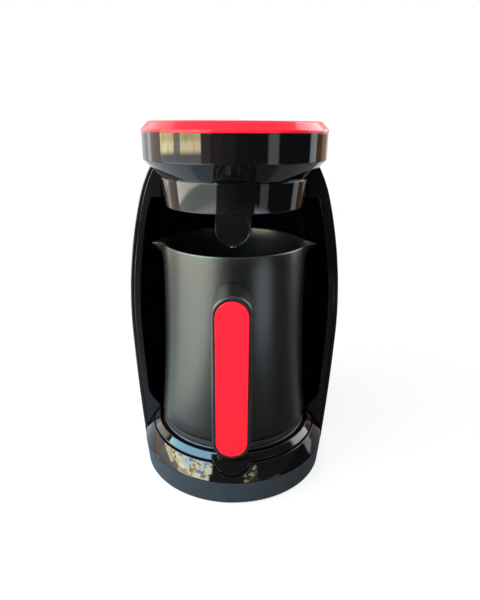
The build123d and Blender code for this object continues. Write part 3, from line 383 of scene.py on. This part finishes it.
def plated_metal(name, colour, dark, rough, crystal=1.6):
    """Zinc or nickel plating, with crystals of about `crystal` millimetres."""
    finish = Finish(name, Metallic=1.0)
    spangle = finish.node(
        "ShaderNodeTexVoronoi", {}, {"Vector": finish.place, "Scale": 1 / (crystal * mm)}, "Distance"
    )
    tarnish = finish.ramp(finish.noise(9, detail=4, rough=0.6), low=0.45, high=0.7)
    return finish.put(
        Base_Color=finish.mix(tarnish * 0.5 + finish.edge_mask(0.3) * 0.2, colour, dark),
        Roughness=rough + spangle * 0.1 + tarnish * 0.15,
        Normal=finish.bump(finish.noise(0.6, detail=2), depth=0.01, strength=0.5),
    )


# the plate's dark colour is painted shade, for the shade in the gap under the pot
plate_aluminium = turned_metal(
    "plate_aluminium", (0.055, 0.056, 0.06), (0.025, 0.024, 0.024), rough=0.35, ring=0.5
)
zinc_steel = plated_metal("zinc_steel", (0.58, 0.58, 0.57), (0.34, 0.33, 0.30), rough=0.25)
element_steel = plated_metal("element_steel", (0.55, 0.53, 0.50), (0.25, 0.21, 0.17), rough=0.18)
print("metals:", plate_aluminium.name, zinc_steel.name, element_steel.name)

# %% [markdown]
# ## Circuit boards
#
# The boards are glass fibre under green lacquer.  Copper tracks under the lacquer show as a slightly lighter
# pattern of straight runs, which a Brick texture gives.


# %% Circuit board
def lacquered_board(name, pattern=9):
    """Green lacquer over a pattern of tracks, `pattern` millimetres to the texture's unit."""
    finish = Finish(name, IOR=1.5)
    tracks = finish.node(
        "ShaderNodeTexBrick",
        {"offset": 0.37, "squash": 1.6},
        {"Vector": finish.place, "Scale": 1 / (pattern * mm), "Mortar Size": 0.035, "Mortar Smooth": 0.1},
        "Fac",
    )
    return finish.put(
        Base_Color=finish.mix(tracks * 0.8, (0.015, 0.09, 0.035), (0.05, 0.24, 0.09)),
        Roughness=0.3 + finish.noise(6, detail=2) * 0.15,
        Normal=finish.bump(tracks, depth=0.03, strength=0.5),
    )


board_green = lacquered_board("board_green")
print("board finish:", board_green.name)

# %% [markdown]
# ## Finishes on the solids
#
# Every solid gets the finish of its real counterpart.  The mesh of a solid is left as it is, and only its
# material changes.

# %% Dress the solids
dress = {
    gloss_black: (
        "bezel",
        "seat_ring",
        "start_key",
        "rear_shell",
        "liner",
        "front_frame",
        "head_ring",
        "collar",
        "sensor_housing",
    ),
    red_gloss: ("lid", "handle_insert"),
    matte_slate: ("base_housing",),
    matte_black: ("bottom_plate", "switch_plunger", "key_switch", "neck_frame", "head_floor"),
    satin_black: ("handle_frame",),
    rubber_black: ("feet", "cord_gland"),
    silicone: ("plate_seal",),
    phenolic: ("thermostat",),
    relay_blue: ("board_parts",),
    pot_coat: ("pot_body",),
    pot_base_black: ("pot_base",),
    plate_aluminium: ("hot_plate",),
    zinc_steel: (
        "base_screws",
        "dish_screws",
        "neck_screws",
        "floor_screws",
        "handle_screws",
        "heater_dish",
        "column_frame",
        "handle_bracket",
    ),
    element_steel: ("heating_element", "sensor_probe"),
    board_green: ("control_board", "key_board", "head_board"),
}
for material, nodes in dress.items():
    for node in nodes:
        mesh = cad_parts[node].data
        mesh.materials.clear()
        mesh.materials.append(material)
print("dressed", sum(len(nodes) for nodes in dress.values()), "of", len(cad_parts), "nodes")

# %% [markdown]
# ## Selecting in code
#
# An operator acts on whatever is selected.  By hand one clicks; here a short test on a face's or a vertex's
# place does the clicking, after everything else has been deselected.


# %% Selection helpers
def pick_faces(piece, wanted):
    """Enters edit mode with just the wanted faces selected."""
    bpy.ops.object.mode_set(mode="EDIT")
    bpy.ops.mesh.select_mode(type="FACE")
    bpy.ops.mesh.select_all(action="DESELECT")
    bpy.ops.object.mode_set(mode="OBJECT")
    for face in piece.data.polygons:
        face.select = wanted(face)
    bpy.ops.object.mode_set(mode="EDIT")


def pick_vertices(piece, wanted):
    """Enters edit mode with just the vertices selected whose place is wanted."""
    bpy.ops.object.mode_set(mode="EDIT")
    bpy.ops.mesh.select_mode(type="VERT")
    bpy.ops.mesh.select_all(action="DESELECT")
    bpy.ops.object.mode_set(mode="OBJECT")
    for vertex in piece.data.vertices:
        vertex.select = wanted(vertex.co)
    bpy.ops.object.mode_set(mode="EDIT")


print("selection helpers:", pick_faces.__name__, pick_vertices.__name__)

# %% [markdown]
# ## The pot
#
# The real pot is one sheet of aluminium, drawn into a cup that is slightly hollow in the side, with a rolled
# rim and two pouring lips that were pushed out of it.  The same order works here.  A disc is extruded up
# ring by ring, over the rim and down inside.  Then each lip is pulled out of the rim with a soft falloff,
# which moves both faces of the sheet together and gives the lip its smooth root.

# %% Pot sizes
pot_corner_low, pot_corner_high = (Vector(corner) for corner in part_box("pot_body"))
POT_LOW = pot_corner_low.z
POT_TOP = pot_corner_high.z
POT_RIM = POT_TOP - 0.5 * mm
POT_WAIST = POT_TOP - 44.8 * mm
POT_FOOT_R = pot_corner_high.y
POT_RIM_R = POT_FOOT_R - 5.0 * mm
POT_WAIST_R = POT_FOOT_R - 4.7 * mm
POT_WALL = 2.0 * mm
POT_FLOOR = 3.0 * mm
POT_ROUND = 2.2 * mm


def pot_radius(height):
    """Outer radius at a height: a parabola through foot, waist and rim."""
    places = ((POT_LOW, POT_FOOT_R), (POT_WAIST, POT_WAIST_R), (POT_TOP, POT_RIM_R))
    total = 0.0
    for place, radius in places:
        share = 1.0
        for other, _ in places:
            if other != place:
                share *= (height - other) / (place - other)
        total += radius * share
    return total


print("pot from", round(POT_LOW, 4), "to", round(POT_RIM, 4), "foot radius", round(POT_FOOT_R, 4))

# %% [markdown]
# ## Section of the pot
#
# The disc will be extruded along the section of the sheet: round the foot, up the wall, over the rolled rim,
# down inside and round to the inner floor.  Each point of that path is a ring with a radius and a height.


# %% Section of the pot
def quarter(radius, height, size, start, steps=4):
    """Rings of a quarter round, as (radius, height), beginning at an angle in quarter turns."""
    angles = [(start + step / steps) * pi / 2 for step in range(steps + 1)]
    return [(radius + size * cos(a), height + size * sin(a)) for a in angles]


WALL_RINGS = 16
ROLL_STEPS = 3
roll_r = POT_WALL / 2
wall_low = POT_LOW + POT_ROUND
wall_rise = POT_RIM - roll_r - wall_low
straight = [wall_low + wall_rise * ring / WALL_RINGS for ring in range(1, WALL_RINGS + 1)]
foot = quarter(POT_FOOT_R - POT_ROUND, wall_low, POT_ROUND, -1)
outside = [(pot_radius(z), z) for z in straight]
roll = quarter(POT_RIM_R - roll_r, POT_RIM - roll_r, roll_r, 0, ROLL_STEPS)[1:]
roll += quarter(POT_RIM_R - roll_r, POT_RIM - roll_r, roll_r, 1, ROLL_STEPS)[1:]
inside = [(pot_radius(z) - POT_WALL, z) for z in reversed(straight[1:-1])]
inner_low = POT_LOW + POT_FLOOR + POT_ROUND
inner_foot = quarter(pot_radius(POT_LOW + POT_FLOOR) - POT_WALL - POT_ROUND, inner_low, POT_ROUND, 0)
inner_foot = [(radius, 2 * inner_low - height) for radius, height in inner_foot]
pot_rings = foot[1:] + outside + roll + inside + inner_foot
print("pot rings:", len(pot_rings), "wall rings:", len(straight))

# %% Draw the pot
POT_SIDES = 192
bpy.ops.object.select_all(action="DESELECT")
bpy.ops.mesh.primitive_circle_add(
    vertices=POT_SIDES, radius=foot[0][0], fill_type="NGON", location=(0, 0, POT_LOW)
)
pot = bpy.context.object
pot.name = "pot_shell"
bpy.ops.object.transform_apply(location=True, rotation=True, scale=True)
bpy.ops.object.mode_set(mode="EDIT")
bpy.ops.mesh.select_all(action="SELECT")
last_radius, last_height = foot[0]
for radius, height in pot_rings:
    wider = radius / last_radius
    bpy.ops.mesh.extrude_region_move(TRANSFORM_OT_translate={"value": (0, 0, height - last_height)})
    bpy.ops.transform.resize(value=(wider, wider, 1), center_override=(0, 0, height))
    last_radius, last_height = radius, height
bpy.ops.object.mode_set(mode="OBJECT")
print("pot faces:", len(pot.data.polygons))

# %% [markdown]
# ## Pouring lips
#
# A spinner pushes each lip out of the rim with a rounded tool.  A proportional edit does the same: a few
# vertices of the rim are moved out and a little down, and their neighbours follow less and less.  The tip is
# narrow, and goes a little further out than the lip of the solid.

# %% Pouring lips
LIP_PAST = 1.0 * mm
LIP_REACH = pot_corner_high.x + LIP_PAST - POT_RIM_R
LIP_SPREAD = 13 * mm
LIP_DROOP = 2.0 * mm
LIP_GRIP_HIGH = 0.6 * mm
LIP_GRIP_HALF = mm


def in_grip(place, side):
    """True for the vertices of the rim that the tool holds, in the middle of a lip."""
    return place.z > POT_RIM - LIP_GRIP_HIGH and abs(place.y) < LIP_GRIP_HALF and place.x * side > 0


for side in (-1, 1):
    pick_vertices(pot, lambda place: in_grip(place, side))
    bpy.ops.transform.translate(
        value=(side * LIP_REACH, 0, -LIP_DROOP),
        use_proportional_edit=True,
        proportional_edit_falloff="SHARP",
        proportional_size=LIP_SPREAD,
    )
    bpy.ops.object.mode_set(mode="OBJECT")
reach = max(vertex.co.x for vertex in pot.data.vertices)
print("lip reaches", round(reach, 4), "and the solid's", round(pot_corner_high.x, 4))

# %% [markdown]
# ## Coat and lining
#
# The pot is sprayed in two colours: the silky grey outside, and a black lining that coffee doesn't stain.
# The lining's faces are picked by the way they face, inwards or up from the floor, and get the second slot.

# %% Finish the pot
POT_SMOOTH = radians(50)
LOOKS_UP = 0.5
pot.data.materials.append(pot_coat)
pot.data.materials.append(pot_lining)


def faces_inwards(face):
    """True on the inside of the pot and on its inner floor."""
    outward = face.normal.x * face.center.x + face.normal.y * face.center.y
    floor_inside = face.normal.z > LOOKS_UP and face.center.z < POT_LOW + POT_FLOOR + POT_ROUND
    return floor_inside or (outward < 0 and face.center.z > POT_LOW + POT_FLOOR / 2)


pick_faces(pot, faces_inwards)
pot.active_material_index = 1
bpy.ops.object.material_slot_assign()
bpy.ops.object.mode_set(mode="OBJECT")
bpy.ops.object.shade_smooth_by_angle(angle=POT_SMOOTH)
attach(pot, "pot")
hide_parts("pot_body")
print("lining faces:", sum(face.material_index for face in pot.data.polygons))

# %% [markdown]
# ## Rounded edges on the mouldings
#
# A moulding never has a sharp edge, and on polished plastic it is the thin bright line on the round that
# shows where one part ends.  Each of these pieces starts as a copy of its solid.  The copy's loose triangles
# are merged, its flat faces joined, and a Bevel modifier rolls the edges.  Weighted normals then keep the
# large faces flat in the reflection, so that only the rounds bend it.

# %% Rounded copies
MERGE_WITHIN = 0.005 * mm
FLAT_WITHIN = radians(0.6)
EDGE_FROM = radians(35)
EDGE_SEGMENTS = 3
SLIVER = 0.002 * mm
SMOOTH_UNDER = radians(32)


def rounded_copy(node, width, body, reshape=None):
    """A copy of a solid with its edges rolled over `width` millimetres, which stands for it."""
    piece = bpy.data.objects.new(node + "_rounded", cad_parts[node].data.copy())
    bpy.context.scene.collection.objects.link(piece)
    bpy.ops.object.select_all(action="DESELECT")
    piece.select_set(True)
    bpy.context.view_layer.objects.active = piece
    bpy.ops.object.mode_set(mode="EDIT")
    bpy.ops.mesh.select_all(action="SELECT")
    bpy.ops.mesh.remove_doubles(threshold=MERGE_WITHIN)
    bpy.ops.mesh.dissolve_limited(angle_limit=FLAT_WITHIN)
    bpy.ops.object.mode_set(mode="OBJECT")
    if width:
        bevel = piece.modifiers.new("rounded", "BEVEL")
        bevel.width = width * mm
        bevel.segments = EDGE_SEGMENTS
        bevel.limit_method = "ANGLE"
        bevel.angle_limit = EDGE_FROM
        bpy.ops.object.modifier_apply(modifier="rounded")
    if reshape:
        reshape(piece)
    bpy.ops.object.mode_set(mode="EDIT")
    bpy.ops.mesh.select_all(action="SELECT")
    bpy.ops.mesh.dissolve_degenerate(threshold=SLIVER)
    bpy.ops.object.mode_set(mode="OBJECT")
    bpy.ops.object.shade_smooth_by_angle(angle=SMOOTH_UNDER)
    even = piece.modifiers.new("even", "WEIGHTED_NORMAL")
    even.keep_sharp = True
    bpy.ops.object.modifier_apply(modifier="even")
    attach(piece, body)
    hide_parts(node)
    print(piece.name, "faces", len(piece.data.polygons))


print("segments to a rolled edge:", EDGE_SEGMENTS)

# %% [markdown]
# ## Crown of the bezel
#
# The slope of the bezel is a cone on the drawing.  On the moulding it is slightly domed, by less than a
# quarter of a millimetre, which no outline shows and every reflection does: a window in it turns from
# straight stripes into soft blotches.  The slope is bisected into rings, and the rings are widened by a
# parabola, most in the middle and not at all at its two rims.

# %% Crown of the bezel
SLOPE_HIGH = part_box("bezel")[1][2]
SLOPE_FOOT_R, _, SLOPE_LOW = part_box("base_housing")[1]
SLOPE_LEAN = 0.598
SLOPE_FACING = (0.3, 0.8)
SLOPE_CUTS = 9
SLOPE_STRIPS = 45
ON_SLOPE = 0.06 * mm
CROWN = 0.22 * mm
print("slope from", round(SLOPE_LOW, 4), "to", round(SLOPE_HIGH, 4), "foot radius", round(SLOPE_FOOT_R, 4))


def leans(face):
    """True for faces that lean back as the slope does."""
    return SLOPE_FACING[0] < face.normal.z < SLOPE_FACING[1]


def slope_radius(height):
    """Radius of the bezel's slope at a height, which shrinks by the lean for every step up."""
    return SLOPE_FOOT_R - (height - SLOPE_LOW) * SLOPE_LEAN


def in_strip(place, low, high):
    """True for places on the slope between two heights."""
    return low <= place.z < high and abs(hypot(place.x, place.y) - slope_radius(place.z)) < ON_SLOPE


def dome_slope(piece):
    """Gives the slope of the bezel its crown, strip by strip."""
    rise = SLOPE_HIGH - SLOPE_LOW
    for cut in range(1, SLOPE_CUTS):
        pick_faces(piece, leans)
        bpy.ops.mesh.bisect(plane_co=(0, 0, SLOPE_LOW + rise * cut / SLOPE_CUTS), plane_no=(0, 0, 1))
        bpy.ops.object.mode_set(mode="OBJECT")
    for strip in range(SLOPE_STRIPS):
        low = SLOPE_LOW + rise * strip / SLOPE_STRIPS
        high = low + rise / SLOPE_STRIPS
        along = (strip + 0.5) / SLOPE_STRIPS
        parabola = 4 * along * (1 - along)
        wider = 1 + CROWN * parabola / slope_radius((low + high) / 2)
        pick_vertices(piece, lambda place: in_strip(place, low, high))
        bpy.ops.transform.resize(value=(wider, wider, 1), center_override=(0, 0, low))
        bpy.ops.object.mode_set(mode="OBJECT")


rounded_copy("bezel", 0.3, "machine", dome_slope)

# %% [markdown]
# ## Face of the start key
#
# The start key lies in the slope of the bezel.  It has a larger round than its neighbours, so that a finger
# finds it, and its face is a little flatter than the round bezel beside it, so it mirrors another part of
# the room and reads as a piece of its own.  The rim of the face is beveled, and the two sides are brought
# forward, out of the slope, with a falloff that leaves the middle where it is.

# %% Face of the start key
KEY_CUTS = 5
KEY_ROUND = 1.1 * mm
KEY_ROUND_SEGMENTS = 4
KEY_FORWARD = 0.9 * mm
KEY_PROUD = 0.2 * mm
KEY_SIDE = 0.4 * mm
KEY_BELOW_MIDDLE = 4 * mm
OUT_OF_SLOPE = (0, -0.86, 0.51)


def flatten_key(piece):
    """Rounds the rim of the key's face and makes the face flatter than the bezel."""
    side = max(vertex.co.x for vertex in piece.data.vertices)
    level = (SLOPE_LOW + SLOPE_HIGH) / 2 - KEY_BELOW_MIDDLE

    def on_face(face):
        return leans(face) and hypot(*face.center.xy) > slope_radius(face.center.z) + KEY_PROUD

    pick_faces(piece, on_face)
    bpy.ops.mesh.region_to_loop()
    bpy.ops.mesh.bevel(
        offset=KEY_ROUND, segments=KEY_ROUND_SEGMENTS, affect="EDGES", clamp_overlap=False
    )
    bpy.ops.object.mode_set(mode="OBJECT")
    for cut in range(-KEY_CUTS, KEY_CUTS + 1):
        pick_faces(piece, lambda face: True)
        bpy.ops.mesh.bisect(plane_co=(side * cut / (KEY_CUTS + 1), 0, 0), plane_no=(1, 0, 0))
        bpy.ops.object.mode_set(mode="OBJECT")
    for turn in (-1, 1):
        pick_vertices(piece, lambda place: place.x * turn > side - KEY_SIDE and place.z > level)
        bpy.ops.transform.translate(
            value=[KEY_FORWARD * part for part in OUT_OF_SLOPE],
            use_proportional_edit=True,
            proportional_edit_falloff="SHARP",
            proportional_size=side,
        )
        bpy.ops.object.mode_set(mode="OBJECT")


rounded_copy("start_key", 0, "start_button", flatten_key)

# %% [markdown]
# ## Handle, front frame and rear shell
#
# The handle has a small round that shows as a fine satin line.  The front frame and the rear shell meet in
# a fuller round, which draws the bright outline of the machine's barrel.

# %% Rounded handle and shells
rounded_copy("handle_frame", 0.5, "pot")
rounded_copy("front_frame", 0.8, "machine")
rounded_copy("rear_shell", 0.8, "machine")

# %% [markdown]
# ## Studio
#
# The machine stands on a plain pale floor before a white sky.  Floor and sky show white to the eye and to
# mirrors through Light Path, so no extra lamp has to burn them out, and close to the machine the floor keeps
# its shadow.


# %% Floor
def seen_directly(tree):
    """1 for what the eye, a mirror or a glass sees, and 0 for light that falls on the object."""
    rays = ("Is Camera Ray", "Is Glossy Ray", "Is Transmission Ray")
    return sum(tree.node("ShaderNodeLightPath", {}, {}, ray) for ray in rays)


STAGE_R = 2.0
SHADOW_R = 0.12
WHITE_R = 0.32
WHITE_NEAR = 0.82
STAGE_SIDES = 96
bpy.ops.mesh.primitive_circle_add(
    vertices=STAGE_SIDES, radius=STAGE_R, fill_type="NGON", location=(0, 0, 0)
)
floor = bpy.context.object
floor.name = "floor"
paper = Finish("pale_floor", Roughness=0.9)
paper.put(Base_Color=paper.mix(paper.noise(300, detail=2) * 0.3, (0.9, 0.9, 0.9), (0.84, 0.84, 0.84)))
from_middle = paper.node("ShaderNodeVectorMath", {"operation": "LENGTH"}, {0: paper.place}, "Value")
clean = WHITE_NEAR + paper.ramp(from_middle, SHADOW_R, WHITE_R) * (1 - WHITE_NEAR)
white = paper.node("ShaderNodeEmission", {}, {"Color": (1, 1, 1), "Strength": 1.0})
lit = Wire(paper, paper.shader.outputs[0])
shown = paper.node("ShaderNodeMixShader", {}, {0: seen_directly(paper) * clean, 1: lit, 2: white})
paper.feed(paper.nodes["Material Output"].inputs["Surface"], shown)
floor.data.materials.append(paper.material)
print("floor radius", STAGE_R)

# %% [markdown]
# ## What the gloss reflects
#
# Black gloss has no colour of its own and shows the room round it.  A studio stands cards round a black
# product for this: a bright window on the left, a narrow one on the right, and dark card between them.  Here
# one curved card and one on the table carry those bands.  Only mirrors see them, so they light nothing else.

# %% Bands of the room
CARD_R = 1.0
CARD_HIGH = 1.3
CARD_GAP = 0.84
BRIGHTEST = 20.0
BAND_EDGE = 1.0
BLACK = (0, 0, 0)
# azimuth in degrees where each band starts, 0 in front and positive to the right, and its brightness
BANDS = [
    (-180, (1.2, 1.25, 1.25)),
    (-126, (3.0, 2.8, 2.4)),
    (-117, (1.7, 1.3, 1.15)),
    (-38, (0.62, 0.5, 0.47)),
    (-27, (0.3, 0.22, 0.21)),
    (-14, (0.17, 0.14, 0.13)),
    (2, (0.04, 0.036, 0.036)),
    (39, (1.4, 1.5, 1.5)),
    (52, (0.04, 0.036, 0.036)),
    (100, (1.85, 1.95, 2.05)),
    (113, (0.4, 0.2, 0.1)),
    (128, (0.8, 0.55, 0.4)),
]


def glow(*brightness):
    """A brightness as a share of the brightest that a card shines."""
    return tuple(channel / BRIGHTEST for channel in brightness)


def band_stops(bands):
    """Ramp stops over a whole turn, with a soft edge of one BAND_EDGE to each side of a start."""
    stops = []
    for number, (start, colour) in enumerate(bands):
        if number:
            stops.append(((start - BAND_EDGE) / 360 + 0.5, glow(*bands[number - 1][1])))
        stops.append(((start + BAND_EDGE) / 360 + 0.5, glow(*colour)))
    return stops


print("bands:", len(BANDS), "ramp stops:", len(band_stops(BANDS)))


# %% Card helpers
def card_finish(name):
    """A card that shines in bands round the machine; it also gives the azimuth and the place on it."""
    finish = Finish(name, Roughness=1.0, Specular_IOR_Level=0.0, Emission_Strength=BRIGHTEST)
    place = [finish.node("ShaderNodeSeparateXYZ", {}, {0: finish.place}, axis) for axis in range(3)]
    azimuth = place[0].math("ARCTAN2", place[0], 0 - place[1]) * (180 / pi)
    turn = azimuth / 360 + 0.5
    bands = finish.node("ShaderNodeValToRGB", {"stops": band_stops(BANDS)}, {0: turn}, "Color")
    return finish, bands, azimuth, place


def open_behind(card):
    """Leaves the card open behind the machine, where the white sky shows."""
    pick_faces(card, lambda face: face.center.y > CARD_GAP * hypot(face.center.x, face.center.y))
    bpy.ops.mesh.delete(type="FACE")
    bpy.ops.object.mode_set(mode="OBJECT")


def only_for_mirrors(card, shine):
    """Gives a card its shine, and hides it from the eye, from soft light and from shadows."""
    card.data.materials.append(shine)
    card.visible_camera = False
    card.visible_diffuse = False
    card.visible_shadow = False


print("card helpers:", card_finish.__name__, open_behind.__name__, only_for_mirrors.__name__)

# %% [markdown]
# ## Wall with the windows
#
# The large window on the left looks out on a garden: ground, dry grass, trees and then sky.  The gloss black
# squeezes that view into a few patches, so a column of colours with two kinds of blotches and one post is
# enough.  A small window is in front on the right.  In the next cells each edge is given as the two places
# between which it fades, in metres of height or in degrees of azimuth.

# %% Wall card
bpy.ops.mesh.primitive_cylinder_add(
    vertices=STAGE_SIDES,
    radius=CARD_R,
    depth=CARD_HIGH,
    end_fill_type="NOTHING",
    location=(0, 0, CARD_HIGH / 2),
)
curved_card = bpy.context.object
curved_card.name = "curved_card"
bpy.ops.object.transform_apply(location=True, rotation=True, scale=True)
open_behind(curved_card)
finish, bands, azimuth, (_, _, up) = card_finish("window_card")
print("wall card:", curved_card.name, "faces:", len(curved_card.data.polygons))

# %% View out of the window
# height in metres and brightness of the view, from the ground to the sky
OUTSIDE = [
    (0.0, (1.4, 1.2, 1.0)),
    (0.165, (2.0, 2.15, 2.1)),
    (0.171, (13.0, 11.0, 6.8)),
    (0.183, (13.0, 11.0, 6.8)),
    (0.195, (9.0, 7.8, 4.0)),
    (0.225, (10.0, 9.0, 5.0)),
    (0.24, (18.0, 17.0, 13.0)),
    (0.28, (14.0, 14.0, 11.0)),
    (0.31, (9.0, 13.0, 14.5)),
    (0.5, (8.0, 12.0, 14.0)),
    (0.6, (5.0, 9.5, 12.8)),
    (1.3, (4.0, 8.0, 11.0)),
]
SAND = glow(15, 13, 8)
LEAF = glow(2.6, 2.5, 1.6)
POST = glow(1.9, 2.1, 2.0)
FLATTENED = (1, 1, 1.6)
above = finish.ramp(up, 0.21, 0.24)
middle = finish.between(up, rise=(0.225, 0.24), fall=(0.45, 0.55))
heights = [(height / CARD_HIGH, glow(*colour)) for height, colour in OUTSIDE]
outside = finish.node("ShaderNodeValToRGB", {"stops": heights}, {0: up / CARD_HIGH}, "Color")
sandy = finish.ramp(finish.noise(150, detail=2, stretch=FLATTENED), 0.44, 0.54)
leaves = finish.ramp(finish.noise(120, detail=2, stretch=FLATTENED), 0.52, 0.60)
leaves = leaves * (1 - finish.ramp(up, 0.5, 0.7))
post = finish.between(azimuth, rise=(-74, -73), fall=(-65, -64)) * (1 - above)
view_out = finish.mix(sandy * middle, outside, SAND)
view_out = finish.mix(leaves * (0.3 + middle * 0.5), view_out, LEAF)
view_out = finish.mix(post * 0.85, view_out, POST)
print("heights of the view:", len(heights))

# %% Walls round the window
LAWN = glow(4.5, 4.4, 2.8)
BUSH = glow(0.5, 0.5, 0.3)
REAR_WALL = glow(2.8, 2.7, 2.5)
DARK_WALL = glow(0.12, 0.11, 0.11)
RIGHT_WALL = glow(5, 5.2, 5.4)
right_edge = above * 12 - 38
window = finish.ramp(azimuth, -97, -95) * (1 - finish.ramp(azimuth - right_edge, -1, 1))
small_window = finish.between(azimuth, rise=(12, 14), fall=(28, 31)) * middle
bushes = finish.ramp(finish.noise(140, detail=2, stretch=FLATTENED), 0.46, 0.52)
garden = finish.mix(bushes, LAWN, BUSH)
upper = finish.mix(finish.ramp(azimuth, -105, -98), REAR_WALL, DARK_WALL)
upper = finish.mix(finish.ramp(azimuth, 88, 95), upper, RIGHT_WALL)
upper = finish.mix(small_window, upper, garden)
walls = finish.mix(above, bands, upper)
finish.put(Base_Color=BLACK, Emission_Color=finish.mix(window, walls, view_out))
only_for_mirrors(curved_card, finish.material)
print("wall finish:", finish.material.name)

# %% [markdown]
# ## Table
#
# Everything that slopes outwards, such as the cone under the head, mirrors the table and not the wall.  The
# table is lit through the window on the left, and darkens round the machine's foot.  Past its rim it gives
# way to what lies beyond, and out of the light to the dimmed bands of the room.  Here an edge is given in
# metres from the middle or in degrees of azimuth.

# %% Table card
bpy.ops.mesh.primitive_circle_add(
    vertices=STAGE_SIDES, radius=CARD_R, fill_type="TRIFAN", location=(0, 0, mm)
)
table_card = bpy.context.object
table_card.name = "table_card"
bpy.ops.object.transform_apply(location=True, rotation=True, scale=True)
open_behind(table_card)
finish, bands, azimuth, (east, north, _) = card_finish("table_card")
away = finish.node("ShaderNodeVectorMath", {"operation": "LENGTH"}, {0: finish.place}, "Value")
print("table card:", table_card.name, "faces:", len(table_card.data.polygons))

# %% Table in the light of the window
LIT_NEAR = glow(1.8, 1.95, 1.85)
LIT_FAR = glow(3.0, 3.2, 3.0)
LIT_IN_FRONT = glow(5.5, 5.6, 5.3)
TABLE_RIM = glow(2.0, 2.2, 2.1)
BEYOND_RIM = glow(7, 6.8, 6.2)
FOOT_SHADE = glow(0.3, 0.33, 0.35)
SLANT = 0.23
window = finish.ramp(azimuth, -97, -93) * finish.ramp(north * SLANT - east, 0.125, 0.145)
lit_table = finish.mix(finish.ramp(away, 0.1, 0.45), LIT_NEAR, LIT_FAR)
lit_table = finish.mix(finish.ramp(azimuth, -95, -50) * 0.4, lit_table, LIT_IN_FRONT)
lit_table = finish.mix(finish.ramp(away, 0.52, 0.58), lit_table, TABLE_RIM)
lit_table = finish.mix(finish.ramp(away, 0.66, 0.70), lit_table, BEYOND_RIM)
lit_table = finish.mix(finish.ramp(away, 0.07, 0.14), FOOT_SHADE, lit_table)
print("lit part of the table:", lit_table.socket.node.name)

# %% Rest of the table
LEFT_SHADE = glow(0.5, 0.6, 0.75)
FRONT_SHADE = glow(0.12, 0.11, 0.11)
STRIP = glow(3.2, 3.7, 4.4)
REAR_LEFT = glow(0.85, 1.0, 1.05)
REAR_RIGHT = glow(0.3, 0.28, 0.27)
DIMMED = 0.4
strip = finish.between(azimuth, rise=(30, 33), fall=(56, 60)) * finish.ramp(away, 0.36, 0.42)
near_table = finish.mix(finish.ramp(azimuth, -60, 0), LEFT_SHADE, FRONT_SHADE)
near_table = finish.mix(strip, near_table, STRIP)
near_table = finish.mix(1 - finish.ramp(azimuth, -99, -96), near_table, REAR_LEFT)
near_table = finish.mix(finish.ramp(azimuth, 92, 100), near_table, REAR_RIGHT)
dim_bands = finish.mix(DIMMED, bands, BLACK)
shaded_table = finish.mix(finish.ramp(away, 0.5, 0.56), near_table, dim_bands)
finish.put(Base_Color=BLACK, Emission_Color=finish.mix(window, shaded_table, lit_table))
only_for_mirrors(table_card, finish.material)
print("table finish:", finish.material.name)

# %% [markdown]
# ## Lamps
#
# The lamps do the plain lighting: a large soft one on the left, a weak one on the right, one above and one
# behind.  Mirrors don't see them, because the cards already show where the light comes from.


# %% Lamps
AIM = Vector((0, 0, 0.13))


def soft_light(name, azimuth, height, distance, size, power, colour=(1, 1, 1)):
    """A rectangular lamp at an azimuth, 0 in front and positive to the right, that faces the machine."""
    angle = radians(azimuth)
    place = Vector((distance * sin(angle), -distance * cos(angle), height))
    bpy.ops.object.light_add(type="AREA", location=place)
    lamp = bpy.context.object
    lamp.name = name
    lamp.rotation_mode = "QUATERNION"
    lamp.rotation_quaternion = (AIM - place).to_track_quat("-Z", "Y")
    lamp.data.shape = "RECTANGLE"
    lamp.data.size, lamp.data.size_y = size
    lamp.data.energy = power
    lamp.data.color = colour
    lamp.visible_glossy = False


soft_light("left", -60, height=0.5, distance=0.95, size=(0.6, 0.7), power=14, colour=(1.0, 0.97, 0.93))
soft_light("right", 55, height=0.4, distance=0.95, size=(0.4, 0.6), power=1.4, colour=(0.93, 0.96, 1.0))
soft_light("above", -25, height=1.1, distance=0.5, size=(0.7, 0.5), power=7)
soft_light("behind", 170, height=0.7, distance=0.9, size=(0.6, 0.4), power=4)

# %% [markdown]
# ## Sky
#
# The sky is plain white to the eye and to mirrors.  What it sheds on the machine is weaker and a little
# cool, so that shadows stay soft and don't go black.

# %% World
world = bpy.data.worlds.new("studio")
bpy.context.scene.world = world
world.use_nodes = True
sky = Tree(world.node_tree)
fill = sky.node("ShaderNodeBackground", {}, {"Color": (0.9, 0.95, 1.0), "Strength": 0.35})
bright = sky.node("ShaderNodeBackground", {}, {"Color": (1, 1, 1), "Strength": 1.0})
shown = sky.node("ShaderNodeMixShader", {}, {0: seen_directly(sky), 1: fill, 2: bright})
sky.feed(sky.nodes["World Output"].inputs["Surface"], shown)
print("world:", world.name)
